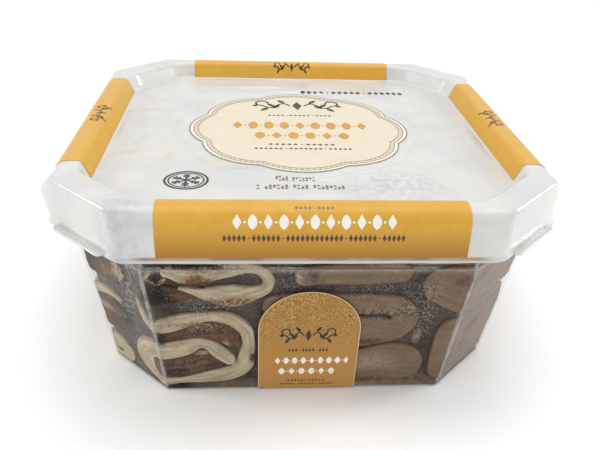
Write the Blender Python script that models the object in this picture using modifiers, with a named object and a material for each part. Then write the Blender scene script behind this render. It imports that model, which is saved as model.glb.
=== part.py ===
"""Square eight-sided ice cream tub with its shut lid, printed bands and the folded ribbons inside.

Metres, +Z up, origin at the middle of the underside. The front, with the arched label, looks to -Y.
Sizes below are millimetres, turned into metres by MM.
"""
import math

import bmesh
import bpy
import numpy as np
from mathutils import Matrix, Vector

MM = 0.001
GAP = 0.3                 # clearance left between pieces that touch

# Each level of a shell is a square plan with cut corners: half width, corner cut, corner radius, height
# The tub: tapered walls, a small collar and a rim
BASE_HALF, BASE_CUT = 78.3, 23.7
SHOULDER_HALF, SHOULDER_CUT, SHOULDER_Z = 87.4, 27.5, 61.7
COLLAR_HALF, COLLAR_CUT, COLLAR_Z = 88.6, 29.6, 62.6
RIM_HALF, RIM_CUT, RIM_Z = 88.9, 28.3, 86.1
TUB_CORNER_RADIUS = 3.0
TUB_WALL = 1.0
BASE_FLAT = 8.0           # width of the base's outermost ring of faces
BASE_ROUND = 0.9
COLLAR_ROUND = 0.5

# The lid: a sunk panel, a hollow raised border over the tub's rim, a skirt and a thin lip
PANEL_HALF, PANEL_CUT, PANEL_RADIUS, PANEL_Z = 80.4, 22.2, 14.0, 80.3
CREST_HALF, CREST_CUT, CREST_RADIUS, CREST_Z = 83.8, 24.2, 13.0, 87.6
SKIRT_HALF, SKIRT_CUT, SKIRT_RADIUS, SKIRT_FOOT_Z = 94.0, 28.2, 8.0, 70.1
LIP_HALF, LIP_CUT, LIP_RADIUS, LIP_Z = 95.0, 29.4, 8.0, 69.4
LID_WALL = 0.9
PANEL_FLAT = 5.0          # width of the panel's outermost ring of faces
PANEL_ROUND, CREST_ROUND, LID_SHOULDER_ROUND, LIP_ROUND = 1.5, 1.8, 7.0, 0.6
TAB_LENGTH, TAB_REACH, TAB_THICKNESS, TAB_ROUND = 28.0, 2.3, 1.0, 1.8
TAB_ROOT, TAB_LIFT = 1.2, 0.1    # how far a tab runs into the lip, and how far it stands above the lip's foot

# Printed fields, made as thin skins that lie just off the plastic
SKIN = 0.3
BAND_HALF_LENGTH, BAND_FOOT_Z = 52.5, 70.8
PLAQUE_RADIUS, PLAQUE_NOTCH_RADIUS, PLAQUE_LOBES, PLAQUE_SHIFT = 49.0, 45.7, 8, 3.5
ARCH_HALF_WIDTH, ARCH_SPRING, ARCH_FOOT, ARCH_SIDE = 19.3, 33.0, 0.9, 0.8

# The ice cream
FOOD_CLEARANCE = TUB_WALL + GAP + 0.05    # the last part allows for the wall's lean
FOOD_TOP = PANEL_Z - LID_WALL - GAP
FOOD_FRONT, FOOD_BACK, FOOD_SLICES = -92.0, 92.0, 6
SWAY_HEIGHT, SWAY_HEIGHT_TURNS, SWAY_LEAN = 2.2, 1.15, 40.0    # how the ribbons rise and fall on the way back
SWAY_SIDE, SWAY_SIDE_TURNS = 3.0, 0.85                         # and how they drift sideways
CENTRE_STEPS = 2          # points between two centre line points
END_ANGLES = (50, 0, -50)    # degrees at which a ribbon's end has its points
BLUNT_REACH, BLUNT_POWER = 0.68, 0.5    # how a blunt end is shorter and squarer than a round one

# Ribbon centre lines in the front view: x, z and half thickness at each point
CREAM_TOP = ((-49.4, 60.4, 3.3), (-44, 59.0, 4.4), (-37, 59.6, 4.2), (-30, 61.2, 3.8), (-23, 62.4, 3.0),
             (-17.4, 60.4, 2.4), (-14.8, 56.4, 2.2), (-15.8, 52.4, 2.4), (-20.5, 50.2, 3.4), (-27, 48.8, 5.0),
             (-34, 49.0, 4.1), (-41, 50.8, 1.9), (-46.4, 52.5, 0.7))
CREAM_CURL = ((-57.0, 59.6, 1.0), (-58.3, 57.2, 1.1), (-56.6, 55.2, 1.2), (-53.6, 54.9, 1.0), (-51.8, 56.6, 0.7))
CREAM_LOW = ((-53.6, 4.0, 2.0), (-46, 5.4, 2.2), (-38, 6.4, 3.0), (-30, 8.2, 3.9), (-24.4, 12.6, 3.9),
             (-22.8, 19.0, 3.0), (-22.2, 26.0, 2.5), (-23.6, 32.0, 2.8), (-28.6, 37.2, 2.9), (-36, 38.6, 2.4),
             (-44, 37.2, 3.2), (-51, 35.0, 3.9), (-56.4, 33.4, 3.0), (-60.0, 35.0, 1.9), (-61.6, 39.0, 1.5),
             (-62.6, 44.0, 1.1))
CREAM_TONGUE = ((-57.0, 3.6, 2.2), (-60.6, 6.6, 3.2), (-62.6, 11.0, 4.0), (-62.6, 16.0, 4.1), (-59.2, 20.0, 4.3),
                (-53, 21.0, 4.3), (-46.5, 22.8, 4.4), (-41, 25.0, 2.7), (-36.6, 23.6, 2.6), (-33.4, 19.8, 3.2),
                (-30.2, 16.4, 2.8))
CREAM_SIDE = ((-86, 4.0, 6.4), (-79.5, 5.4, 6.9), (-75.4, 6.2, 6.8))
CREAM_EDGE = ((-90, 32.6, 1.9), (-82.5, 36.0, 2.2), (-76.4, 37.6, 1.9), (-71.4, 36.4, 1.3))
COCOA_TOP = ((-55.8, 48.9, 4.9), (-51.5, 49.2, 4.6), (-47, 48.8, 3.0), (-43.4, 49.4, 1.3))
COCOA_MID = ((-55.4, 27.8, 2.8), (-49, 29.4, 3.2), (-43, 31.4, 4.0), (-36.5, 32.2, 4.8), (-31, 29.6, 4.8),
             (-27.6, 25.0, 3.2))
COCOA_LOW = ((-55.0, 11.2, 5.6), (-49.5, 11.8, 5.9), (-44.5, 13.4, 5.8), (-40.2, 15.2, 6.2), (-36.4, 14.8, 4.8),
             (-33, 13.8, 2.8), (-29.8, 13.0, 1.0))
COCOA_SIDE = ((-94, 24.6, 9.0), (-85, 25.2, 9.3), (-77.6, 25.6, 9.0))
COCOA_EDGE = ((-92, 50.4, 6.0), (-84, 50.6, 6.0), (-74.4, 51.4, 7.2))
COFFEE_TOP = ((-0.8, 58.0, 4.6), (6, 59.0, 4.9), (18, 59.2, 5.2), (31.6, 59.8, 4.9))
COFFEE_MID = ((-12, 44.2, 4.8), (6, 44.4, 5.0), (22, 44.3, 5.0), (32.4, 43.4, 5.0), (36.8, 38.2, 5.2),
              (33.2, 32.0, 5.8), (22, 30.4, 7.6), (0, 29.0, 7.4))
COFFEE_LOW = ((-12, 9.2, 6.4), (8, 10.8, 7.8), (22, 12.0, 9.0), (31, 13.4, 10.0), (36.6, 13.8, 9.9))
COFFEE_SIDE_TOP = ((51.0, 53.6, 9.6), (57.5, 51.4, 11.2), (66, 50.8, 11.7), (79, 51.4, 10.8), (96, 53.4, 10.0))
COFFEE_SIDE_LOW = ((60.5, 19.6, 16.6), (68, 19.4, 17.2), (80, 19.8, 17.0), (96, 20.8, 16.6))
CREAM_CROWN = ((-90, 73.0, 5.0), (-74, 74.8, 4.6), (-58, 71.4, 4.4), (-42, 73.6, 4.8), (-26, 71.8, 4.2),
               (-8, 73.8, 4.4))
COFFEE_CROWN = ((2, 72.4, 5.0), (18, 74.6, 4.6), (34, 71.2, 4.6), (50, 73.8, 4.8), (66, 71.6, 4.4),
                (90, 74.4, 5.0))
BLUNT_ENDED = ("coffee_side_low",)

CORNER_STEPS = 3          # facets round each of the eight corners
ROUND_STEPS = 3           # facets round each bend of a profile
LOBE_STEPS = 6            # facets along each lobe of the plaque
ARCH_STEPS = 14           # facets round the top of the arched label
SHARP_ANGLE = 35          # degrees between faces from which an edge stays sharp

# Colours, as linear red, green and blue (0 to 1)
CLEAR = (0.80, 0.80, 0.78)
MILKY = (0.78, 0.79, 0.78)
ORANGE = (0.74, 0.38, 0.07)
CREAM_PRINT = (0.86, 0.77, 0.60)
CREAM = (0.62, 0.53, 0.38)
COCOA = (0.10, 0.040, 0.018)
COFFEE = (0.24, 0.165, 0.115)


def clear_scene():
    """Removes every object of the start-up scene."""
    for item in list(bpy.data.objects):
        bpy.data.objects.remove(item, do_unlink=True)


def collection(name):
    """A new collection in the scene."""
    group = bpy.data.collections.new(name)
    bpy.context.scene.collection.children.link(group)
    return group


def material(name, colour, roughness, alpha=1.0):
    """A plain plastic-like or food-like finish."""
    finish = bpy.data.materials.new(name)
    finish.use_nodes = True
    shader = finish.node_tree.nodes["Principled BSDF"]
    shader.inputs["Base Color"].default_value = (*colour, 1.0)
    shader.inputs["Roughness"].default_value = roughness
    shader.inputs["Alpha"].default_value = alpha
    return finish


def add_object(name, builder, group, finish=None):
    """Turns a bmesh into a named object, with its normals facing out and smooth rounds."""
    bmesh.ops.recalc_face_normals(builder, faces=builder.faces)
    mesh = bpy.data.meshes.new(name)
    builder.to_mesh(mesh)
    builder.free()
    mesh.shade_smooth()
    mesh.set_sharp_from_angle(angle=math.radians(SHARP_ANGLE))
    item = bpy.data.objects.new(name, mesh)
    group.objects.link(item)
    if finish:
        mesh.materials.append(finish)
    return item


def as_cutter(item):
    """Marks an object as a cutter."""
    item.hide_render = True
    item.display_type = "WIRE"
    return item


def boolean(item, operation, operand):
    """Adds an exact Boolean with one object."""
    step = item.modifiers.new(operation.title(), "BOOLEAN")
    step.operation = operation
    step.solver = "EXACT"
    step.object = operand
    return step


def plan_ring(half, cut, radius, height):
    """One level of the eight-sided plan, its corners rounded."""
    inset = half - cut + radius - radius * math.sqrt(2)
    corners = ((half - radius, inset, 0.0), (inset, half - radius, 45.0))
    ring = []
    for quarter in range(4):
        turn = Matrix.Rotation(math.radians(90 * quarter), 3, "Z")
        for x, y, start in corners:
            for step in range(CORNER_STEPS + 1):
                angle = math.radians(start + 45.0 * step / CORNER_STEPS)
                corner = Vector((x + radius * math.cos(angle), y + radius * math.sin(angle), height))
                ring.append(turn @ corner * MM)
    return ring


def rounded_path(points, rounds):
    """A path of straight runs with its inner points rounded; rounds holds one reach per inner point."""
    points = [np.array(point) for point in points]
    path = [points[0]]
    for before, point, after, reach in zip(points, points[1:], points[2:], rounds):
        start = point + (before - point) * reach / np.linalg.norm(before - point)
        end = point + (after - point) * reach / np.linalg.norm(after - point)
        for step in range(ROUND_STEPS + 1):
            t = step / ROUND_STEPS
            path.append(start * (1 - t) ** 2 + point * 2 * t * (1 - t) + end * t ** 2)
    path.append(points[-1])
    return path


def loft(builder, rings):
    """Side faces between rings of equal length."""
    levels = [[builder.verts.new(point) for point in ring] for ring in rings]
    count = len(levels[0])
    for low, high in zip(levels, levels[1:]):
        for i in range(count):
            j = (i + 1) % count
            builder.faces.new((low[i], low[j], high[j], high[i]))
    return levels


def shell(name, sections, wall, opens_down, group, finish):
    """A cup: levels (half, cut, radius, height) from its closed middle outwards, thickened by Solidify."""
    builder = bmesh.new()
    levels = loft(builder, [plan_ring(*section) for section in sections])
    builder.faces.new(levels[0])
    item = add_object(name, builder, group, finish)
    if (item.data.polygons[-1].normal.z > 0) != opens_down:
        item.data.flip_normals()
    solid = item.modifiers.new("Wall", "SOLIDIFY")
    solid.thickness = wall * MM
    solid.offset = -1.0
    solid.use_even_offset = True
    return item


def lid_sections():
    """The lid's outer surface from the panel out to the lip, as (half, cut, radius, height)."""
    corners = ((PANEL_HALF - PANEL_FLAT, PANEL_CUT, PANEL_RADIUS, PANEL_Z),
               (PANEL_HALF, PANEL_CUT, PANEL_RADIUS, PANEL_Z),
               (CREST_HALF, CREST_CUT, CREST_RADIUS, CREST_Z),
               (SKIRT_HALF, SKIRT_CUT, SKIRT_RADIUS, CREST_Z),
               (SKIRT_HALF, SKIRT_CUT, SKIRT_RADIUS, SKIRT_FOOT_Z),
               (LIP_HALF, LIP_CUT, LIP_RADIUS, LIP_Z))
    return rounded_path(corners, (PANEL_ROUND, CREST_ROUND, LID_SHOULDER_ROUND, LIP_ROUND))


def make_tub(group, finish):
    """The clear tub: tapered walls, a small collar on the four long sides and a rim inside the lid."""
    levels = ((BASE_HALF - BASE_FLAT, BASE_CUT, 0.0), (BASE_HALF, BASE_CUT, 0.0),
              (SHOULDER_HALF, SHOULDER_CUT, SHOULDER_Z), (COLLAR_HALF, COLLAR_CUT, COLLAR_Z),
              (RIM_HALF, RIM_CUT, RIM_Z))
    corners = [(half, cut, TUB_CORNER_RADIUS, height) for half, cut, height in levels]
    sections = rounded_path(corners, (BASE_ROUND, COLLAR_ROUND, COLLAR_ROUND))
    return shell("tub", sections, TUB_WALL, False, group, finish)


def make_lid(group, cutters, finish):
    """The milky lid with a small lift tab at each corner."""
    lid = shell("lid", lid_sections(), LID_WALL, True, group, finish)
    lip_reach = (2 * LIP_HALF - LIP_CUT) / math.sqrt(2)
    root = lip_reach - TAB_ROOT
    for corner in range(4):
        bpy.ops.mesh.primitive_cube_add(size=1.0)
        tab = bpy.context.object
        tab.name = f"tab_{corner}"
        for old in list(tab.users_collection):
            old.objects.unlink(tab)
        cutters.objects.link(tab)
        size = (lip_reach + TAB_REACH - root, TAB_LENGTH, TAB_THICKNESS)
        centre = ((root + lip_reach + TAB_REACH) / 2, 0.0, LIP_Z + TAB_THICKNESS / 2 + TAB_LIFT)
        tab.data.transform(Matrix.LocRotScale(Vector(centre) * MM, None, Vector(size) * MM))
        tab.rotation_euler.z = math.radians(45 + 90 * corner)
        soften = tab.modifiers.new("Round", "BEVEL")
        soften.width = TAB_ROUND * MM
        soften.segments = 2
        soften.limit_method = "WEIGHT"
        weight = tab.data.attributes.new("bevel_weight_edge", "FLOAT", "EDGE")
        for edge in tab.data.edges:
            ends = [tab.data.vertices[i].co for i in edge.vertices]
            upright = abs(ends[0].z - ends[1].z) > TAB_THICKNESS * MM / 2
            outer = min(end.x for end in ends) > lip_reach * MM
            weight.data[edge.index].value = 1.0 if upright and outer else 0.0
        boolean(lid, "UNION", as_cutter(tab))
    return lid


def prism(outline, stations):
    """A bmesh with the (x, z) outline drawn at the first station and extruded through the others."""
    builder = bmesh.new()
    start = [builder.verts.new(Vector((x, stations[0], z)) * MM) for x, z in outline]
    face = builder.faces.new(start)
    for before, after in zip(stations, stations[1:]):
        grown = bmesh.ops.extrude_face_region(builder, geom=[face], use_keep_orig=True)
        verts = [part for part in grown["geom"] if isinstance(part, bmesh.types.BMVert)]
        bmesh.ops.translate(builder, verts=verts, vec=Vector((0, after - before, 0)) * MM)
        if before != stations[0]:
            bmesh.ops.delete(builder, geom=[face], context="FACES_ONLY")
        face = next(part for part in grown["geom"] if isinstance(part, bmesh.types.BMFace))
    return builder


def offset_path(path, distance):
    """The path moved sideways, to the left of its direction, by distance."""
    moved = []
    for i, point in enumerate(path):
        before = path[max(i - 1, 0)]
        after = path[min(i + 1, len(path) - 1)]
        along = (after - before).normalized()
        moved.append(point + Vector((-along.y, along.x)) * distance)
    return moved


def make_band(name, turn, group, finish):
    """A printed band that runs over the lid's border on one side."""
    border = [Vector((half, height)) for half, _, _, height in lid_sections() if half > PANEL_HALF]
    border = [point for point in border if point.y > BAND_FOOT_Z] + [Vector((SKIRT_HALF, BAND_FOOT_Z))]
    inner = offset_path(border, GAP)
    outer = offset_path(border, GAP + SKIN)
    builder = prism(inner + outer[::-1], (-BAND_HALF_LENGTH, BAND_HALF_LENGTH))
    bmesh.ops.rotate(builder, verts=builder.verts, matrix=Matrix.Rotation(math.radians(turn), 3, "Z"))
    return add_object(name, builder, group, finish)


def plate(outline, thickness):
    """A bmesh with the flat (x, y) outline at height 0 and raised by the thickness."""
    builder = bmesh.new()
    face = builder.faces.new([builder.verts.new(Vector((x, y, 0)) * MM) for x, y in outline])
    grown = bmesh.ops.extrude_face_region(builder, geom=[face], use_keep_orig=True)
    verts = [part for part in grown["geom"] if isinstance(part, bmesh.types.BMVert)]
    bmesh.ops.translate(builder, verts=verts, vec=Vector((0, 0, thickness)) * MM)
    return builder


def lobed_outline(tip, notch, lobes):
    """A ring of equal shallow lobes, each an arc through two notches and a tip."""
    half_turn = math.pi / lobes
    chord = notch * math.sin(half_turn)
    rise = tip - notch * math.cos(half_turn)
    radius = (chord ** 2 + rise ** 2) / (2 * rise)
    reach = math.asin(chord / radius)
    outline = []
    for lobe in range(lobes):
        middle = 2 * half_turn * lobe
        for step in range(LOBE_STEPS):
            angle = reach * (2 * step / LOBE_STEPS - 1)
            out = tip - radius + radius * math.cos(angle)
            side = radius * math.sin(angle)
            outline.append((out * math.cos(middle) - side * math.sin(middle),
                            out * math.sin(middle) + side * math.cos(middle)))
    return outline


def make_plaque(group, finish):
    """The lobed cream field in the middle of the lid."""
    outline = lobed_outline(PLAQUE_RADIUS, PLAQUE_NOTCH_RADIUS, PLAQUE_LOBES)
    item = add_object("plaque", plate(outline, SKIN), group, finish)
    item.location = Vector((0, PLAQUE_SHIFT, PANEL_Z + GAP)) * MM
    return item


def make_arch(name, turn, group, finish):
    """An arched label that stands on the tub's flat side, leaning out with it."""
    lean = math.atan2(SHOULDER_HALF - BASE_HALF, SHOULDER_Z)
    outline = [(-ARCH_HALF_WIDTH, ARCH_FOOT), (ARCH_HALF_WIDTH, ARCH_FOOT)]
    for step in range(ARCH_STEPS + 1):
        angle = math.pi * step / ARCH_STEPS
        outline.append((ARCH_HALF_WIDTH * math.cos(angle), ARCH_SPRING + ARCH_HALF_WIDTH * math.sin(angle)))
    item = add_object(name, plate(outline, SKIN), group, finish)
    off = GAP / math.cos(lean)
    stand = Matrix.Translation(Vector((ARCH_SIDE, -BASE_HALF - off, 0)) * MM)
    item.matrix_world = (Matrix.Rotation(math.radians(turn), 4, "Z") @ stand
                         @ Matrix.Rotation(math.radians(90) + lean, 4, "X"))
    return item


def centre_curve(points):
    """A smooth curve through a ribbon's centre points (x, z, half thickness)."""
    points = [Vector(point) for point in points]
    padded = [2 * points[0] - points[1]] + points + [2 * points[-1] - points[-2]]
    curve = []
    for a, b, c, d in zip(padded, padded[1:], padded[2:], padded[3:]):
        for step in range(CENTRE_STEPS):
            t = step / CENTRE_STEPS
            curve.append(0.5 * (2 * b + (c - a) * t + (2 * a - 5 * b + 4 * c - d) * t ** 2
                                + (3 * b - a - 3 * c + d) * t ** 3))
    curve.append(points[-1])
    return curve


def ribbon_outline(points, blunt=False, grow=0.0):
    """The (x, z) outline of a ribbon with round or blunt ends, made thicker all round by grow."""
    reach, power = (BLUNT_REACH, BLUNT_POWER) if blunt else (1.0, 1.0)
    curve = centre_curve(points)
    left, right = [], []
    for i, point in enumerate(curve):
        before = curve[max(i - 1, 0)]
        after = curve[min(i + 1, len(curve) - 1)]
        along = Vector((after.x - before.x, after.y - before.y)).normalized()
        aside = Vector((-along.y, along.x)) * (point.z + grow)
        middle = Vector((point.x, point.y))
        left.append(middle + aside)
        right.append(middle - aside)
    caps = []
    for end, inner in ((curve[-1], curve[-2]), (curve[0], curve[1])):
        along = Vector((end.x - inner.x, end.y - inner.y)).normalized()
        across = Vector((-along.y, along.x))
        cap = []
        for degrees in END_ANGLES:
            angle = math.radians(degrees)
            side = math.copysign(abs(math.sin(angle)) ** power, angle)
            way = along * reach * math.cos(angle) ** power + across * side
            cap.append(Vector((end.x, end.y)) + way * (end.z + grow))
        caps.append(cap)
    return left + caps[0] + right[::-1] + caps[1]


def sway(point):
    """Moves a point of the ice cream as the ribbons wander from front to back."""
    depth = (point.y / MM - FOOD_FRONT) / (FOOD_BACK - FOOD_FRONT)
    rise = 2 * math.pi * SWAY_HEIGHT_TURNS * depth + point.x / MM / SWAY_LEAN
    point.z += SWAY_HEIGHT * MM * math.sin(rise) * depth
    point.x += SWAY_SIDE * MM * math.sin(2 * math.pi * SWAY_SIDE_TURNS * depth) * depth


def make_ribbon(name, points, group, cutters, finish, cavity, neighbours):
    """A ribbon of ice cream that runs from the front wall to the back wall, cut clear of its neighbours."""
    stations = [FOOD_FRONT + (FOOD_BACK - FOOD_FRONT) * i / FOOD_SLICES for i in range(FOOD_SLICES + 1)]
    builder = prism(ribbon_outline(points, blunt=name in BLUNT_ENDED), stations)
    for vert in builder.verts:
        sway(vert.co)
    item = add_object(name, builder, group, finish)
    for i, other in enumerate(neighbours):
        builder = prism(ribbon_outline(other, grow=GAP), stations)
        for vert in builder.verts:
            sway(vert.co)
        boolean(item, "DIFFERENCE", as_cutter(add_object(f"{name}_cut_{i}", builder, cutters)))
    boolean(item, "INTERSECT", cavity)
    return item


def make_food(group, cutters, finishes):
    """Every ribbon of ice cream, cut to the hollow of the tub under the lid."""
    levels = ((BASE_HALF, BASE_CUT, FOOD_CLEARANCE), (SHOULDER_HALF, SHOULDER_CUT, SHOULDER_Z),
              (SHOULDER_HALF, SHOULDER_CUT, FOOD_TOP))
    builder = bmesh.new()
    rings = [plan_ring(half - FOOD_CLEARANCE, cut, TUB_CORNER_RADIUS, z) for half, cut, z in levels]
    loops = loft(builder, rings)
    builder.faces.new(loops[0])
    builder.faces.new(loops[-1])
    cavity = as_cutter(add_object("cavity", builder, cutters))
    pieces = (
        ("cream_fold_top", CREAM_TOP, "cream", ()),
        ("cream_curl", CREAM_CURL, "cream", (CREAM_TOP,)),
        ("cream_fold_low", CREAM_LOW, "cream", ()),
        ("cream_tongue", CREAM_TONGUE, "cream", (CREAM_LOW,)),
        ("cream_side", CREAM_SIDE, "cream", ()),
        ("cream_edge", CREAM_EDGE, "cream", ()),
        ("cocoa_fold_top", COCOA_TOP, "cocoa", (CREAM_TOP, CREAM_CURL)),
        ("cocoa_core_mid", COCOA_MID, "cocoa", (CREAM_LOW, CREAM_TONGUE)),
        ("cocoa_core_low", COCOA_LOW, "cocoa", (CREAM_LOW, CREAM_TONGUE)),
        ("cocoa_side", COCOA_SIDE, "cocoa", (CREAM_EDGE,)),
        ("cocoa_edge", COCOA_EDGE, "cocoa", ()),
        ("coffee_fold_top", COFFEE_TOP, "coffee", ()),
        ("coffee_fold_mid", COFFEE_MID, "coffee", ()),
        ("coffee_fold_low", COFFEE_LOW, "coffee", (COFFEE_MID,)),
        ("coffee_side_top", COFFEE_SIDE_TOP, "coffee", ()),
        ("coffee_side_low", COFFEE_SIDE_LOW, "coffee", (COFFEE_SIDE_TOP,)),
        ("cream_crown", CREAM_CROWN, "cream", (CREAM_TOP,)),
        ("coffee_crown", COFFEE_CROWN, "coffee", (COFFEE_SIDE_TOP,)),
    )
    for name, points, flavour, neighbours in pieces:
        make_ribbon(name, points, group, cutters, finishes[flavour], cavity, neighbours)


def main():
    """Builds the whole tub."""
    clear_scene()
    group = collection("ice_cream_tub")
    cutters = collection("cutters")
    make_tub(group, material("clear_plastic", CLEAR, 0.12, 0.3))
    make_lid(group, cutters, material("milky_plastic", MILKY, 0.25, 0.8))
    orange = material("orange_print", ORANGE, 0.35)
    for name, turn in (("band_right", 0), ("band_back", 90), ("band_left", 180), ("band_front", 270)):
        make_band(name, turn, group, orange)
    make_plaque(group, material("cream_print", CREAM_PRINT, 0.4))
    for name, turn in (("label_front", 0), ("label_back", 180)):
        make_arch(name, turn, group, orange)
    finishes = {"cream": material("cream_ice", CREAM, 0.55), "cocoa": material("cocoa_ice", COCOA, 0.5),
                "coffee": material("coffee_ice", COFFEE, 0.55)}
    make_food(group, cutters, finishes)


main()
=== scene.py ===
"""The looks of a shut ice cream tub: clear tub, milky lid, printed fields and folded ribbons of ice cream.

Everything is worked out in millimetres and turned into metres by MM. The front looks to -Y.
"""
import math
from functools import cached_property

import bmesh
import bpy
import numpy as np
from mathutils import Matrix, Vector, noise


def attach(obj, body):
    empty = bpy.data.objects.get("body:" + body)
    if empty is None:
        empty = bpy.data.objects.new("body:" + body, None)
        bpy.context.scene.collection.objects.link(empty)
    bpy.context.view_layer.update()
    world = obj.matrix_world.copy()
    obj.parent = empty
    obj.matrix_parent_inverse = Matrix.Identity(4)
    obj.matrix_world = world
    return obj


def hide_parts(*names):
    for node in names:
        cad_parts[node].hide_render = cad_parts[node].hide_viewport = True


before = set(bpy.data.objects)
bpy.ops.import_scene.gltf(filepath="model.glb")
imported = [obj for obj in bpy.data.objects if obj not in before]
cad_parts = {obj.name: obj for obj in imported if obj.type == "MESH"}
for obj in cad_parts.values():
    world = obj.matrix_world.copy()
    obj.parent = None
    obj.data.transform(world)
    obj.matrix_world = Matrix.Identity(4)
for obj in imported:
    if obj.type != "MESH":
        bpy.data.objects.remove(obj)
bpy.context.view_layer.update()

MM = 0.001

# The tub and the lid: half width, corner cut, corner radius and height of each level
BASE_HALF, BASE_CUT = 78.3, 23.7
SHOULDER_HALF, SHOULDER_CUT, SHOULDER_Z = 87.4, 27.5, 61.7
COLLAR_HALF, COLLAR_CUT, COLLAR_Z = 88.6, 29.6, 62.6
RIM_HALF, RIM_CUT, RIM_Z = 88.9, 28.3, 86.1
TUB_CORNER_RADIUS, TUB_WALL, BASE_FLAT, BASE_ROUND, COLLAR_ROUND = 3.0, 1.0, 8.0, 0.9, 0.5
PANEL_HALF, PANEL_CUT, PANEL_RADIUS, PANEL_Z = 80.4, 22.2, 14.0, 80.3
CREST_HALF, CREST_CUT, CREST_RADIUS, CREST_Z = 83.8, 24.2, 13.0, 87.6
SKIRT_HALF, SKIRT_CUT, SKIRT_RADIUS, SKIRT_FOOT_Z = 94.0, 28.2, 8.0, 70.1
LIP_HALF, LIP_CUT, LIP_RADIUS, LIP_Z = 95.0, 29.4, 8.0, 69.4
LID_WALL, PANEL_FLAT = 0.9, 5.0
PANEL_ROUND, CREST_ROUND, LID_SHOULDER_ROUND, CHAMFER_SHOULDER_ROUND, LIP_ROUND = 1.5, 1.8, 7.0, 2.2, 0.6
TAB_LENGTH, TAB_REACH, TAB_THICKNESS, TAB_ROUND, TAB_LIFT = 28.0, 2.3, 1.0, 1.8, 0.1
TAB_BEVEL, TAB_ROOT = 0.25, 1.2      # roundness of a tab's edges, and how far it reaches in under the lip
CORNER_STEPS, CHAMFER_STEPS, LONG_STEPS, ROUND_STEPS = 8, 12, 36, 8
PANEL_RINGS, WALL_RINGS = 44, 36
WALL_BLEND = 2.0           # how softly the ice turns at an upright edge of the tub
EDGE_GLOW = 0.7            # reach of the light line along each upright edge of the tub
COLLAR_GLOW, COLLAR_GLOW_REACH = 0.8, 0.5    # strength and reach of the light line under the collar
WELD, INK_WELD = 0.002, 0.001                # points closer than this become one
PANEL_WAVES = ((0.32, 3.0, 24.0), (0.12, 7.0, 9.0))    # height, seed and size of the panel's waves
PLAQUE_MARGIN = (1.0, 6.0)    # distances from the plaque over which the waves set in
CREASE_CURL = 0.03            # how a crease bends along its length
BULGE_AT, BULGE_REACH, BULGE = (-94.0, -64.0), 8.0, 2.2    # where the skirt swells out, and how far
BULGE_FOOT, BULGE_HEAD = (70.5, 75.5), (81.5, 87.0)    # heights over which the swell rises and fades

# Printed fields
BAND_HALF_LENGTH, BAND_FOOT_Z = 52.5, 70.8
PLAQUE_RADIUS, PLAQUE_NOTCH_RADIUS, PLAQUE_LOBES, PLAQUE_SHIFT = 49.0, 45.7, 8, 3.5
ARCH_HALF_WIDTH, ARCH_SPRING, ARCH_FOOT, ARCH_SIDE = 19.3, 33.0, 0.9, 0.8
PRINT_LIFT, PRINT_SKIN, INK_LIFT, MARK_LIFT = 0.05, 0.16, 0.05, 0.12
INK_TOP = PRINT_LIFT + PRINT_SKIN + INK_LIFT
SHARP_ANGLE = math.radians(40)    # the edges of the printed fields stay sharp over this angle
BEAD_OUT, BEAD_WIDTH, BEAD_HEIGHT = 6.0, 2.4, 0.34    # the embossed line round the plaque

# The ice cream: how far it reaches into the wall, how round its edges are, and how its ribbons sway
WALL_GRIP = {"cream": 0.30, "coffee": 0.30, "cocoa": 0.12}
EDGE_ROUND = 1.1
FOOD_TOP = PANEL_Z - LID_WALL - 0.3
FOOD_FRONT, FOOD_BACK = -92.0, 92.0
SWAY_HEIGHT, SWAY_HEIGHT_TURNS, SWAY_LEAN = 2.2, 1.15, 40.0
SWAY_SIDE, SWAY_SIDE_TURNS = 3.0, 0.85
THICK_WAVE, SHIFT_WAVES = (0.05, 7.0), ((0.25, 20.0, 9.0), (0.12, 40.0, 3.5))    # how a ribbon wanders
FACE_WAVE, FACE_REST = (0.3, 6.0), 0.04      # hollows of a ribbon's face on the wall, and what stays flat
SIDE_WAVE = (0.5, 11.0)                      # swells of a ribbon's sides through the food
GAP_WAVES = ((0.22, 6.0), (0.12, 2.4))       # swells of the mass behind the ribbons
BACK_PLACE, BACK_FLOW = 86.0, 90.0           # where the back faces lie, and what they add to the streaks
SECTION_STEP = 1.1        # distance between sections along a ribbon
ACROSS_STEPS = 18         # faces across a ribbon where it lies on the wall
END_STEPS = 7
GAP_DEPTH = 2.4           # how far the frosty mass behind the ribbons stands back from the wall's outside
GAP_FOOT = 0.7            # and how far at its foot, which is also how high that foot lies
GAP_FOOT_RISE, GAP_TOP = 3.5, 76.0    # height where it has its full depth, and its top
FRONT_FADE = (50.0, 60.0)    # distances to the front over which the looks seen in the photograph set in
BLUNT_REACH, BLUNT_POWER = 0.68, 0.5    # how a blunt end is shorter and squarer than a round one
BLUNT_ENDED = ("coffee_side_low",)

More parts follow.
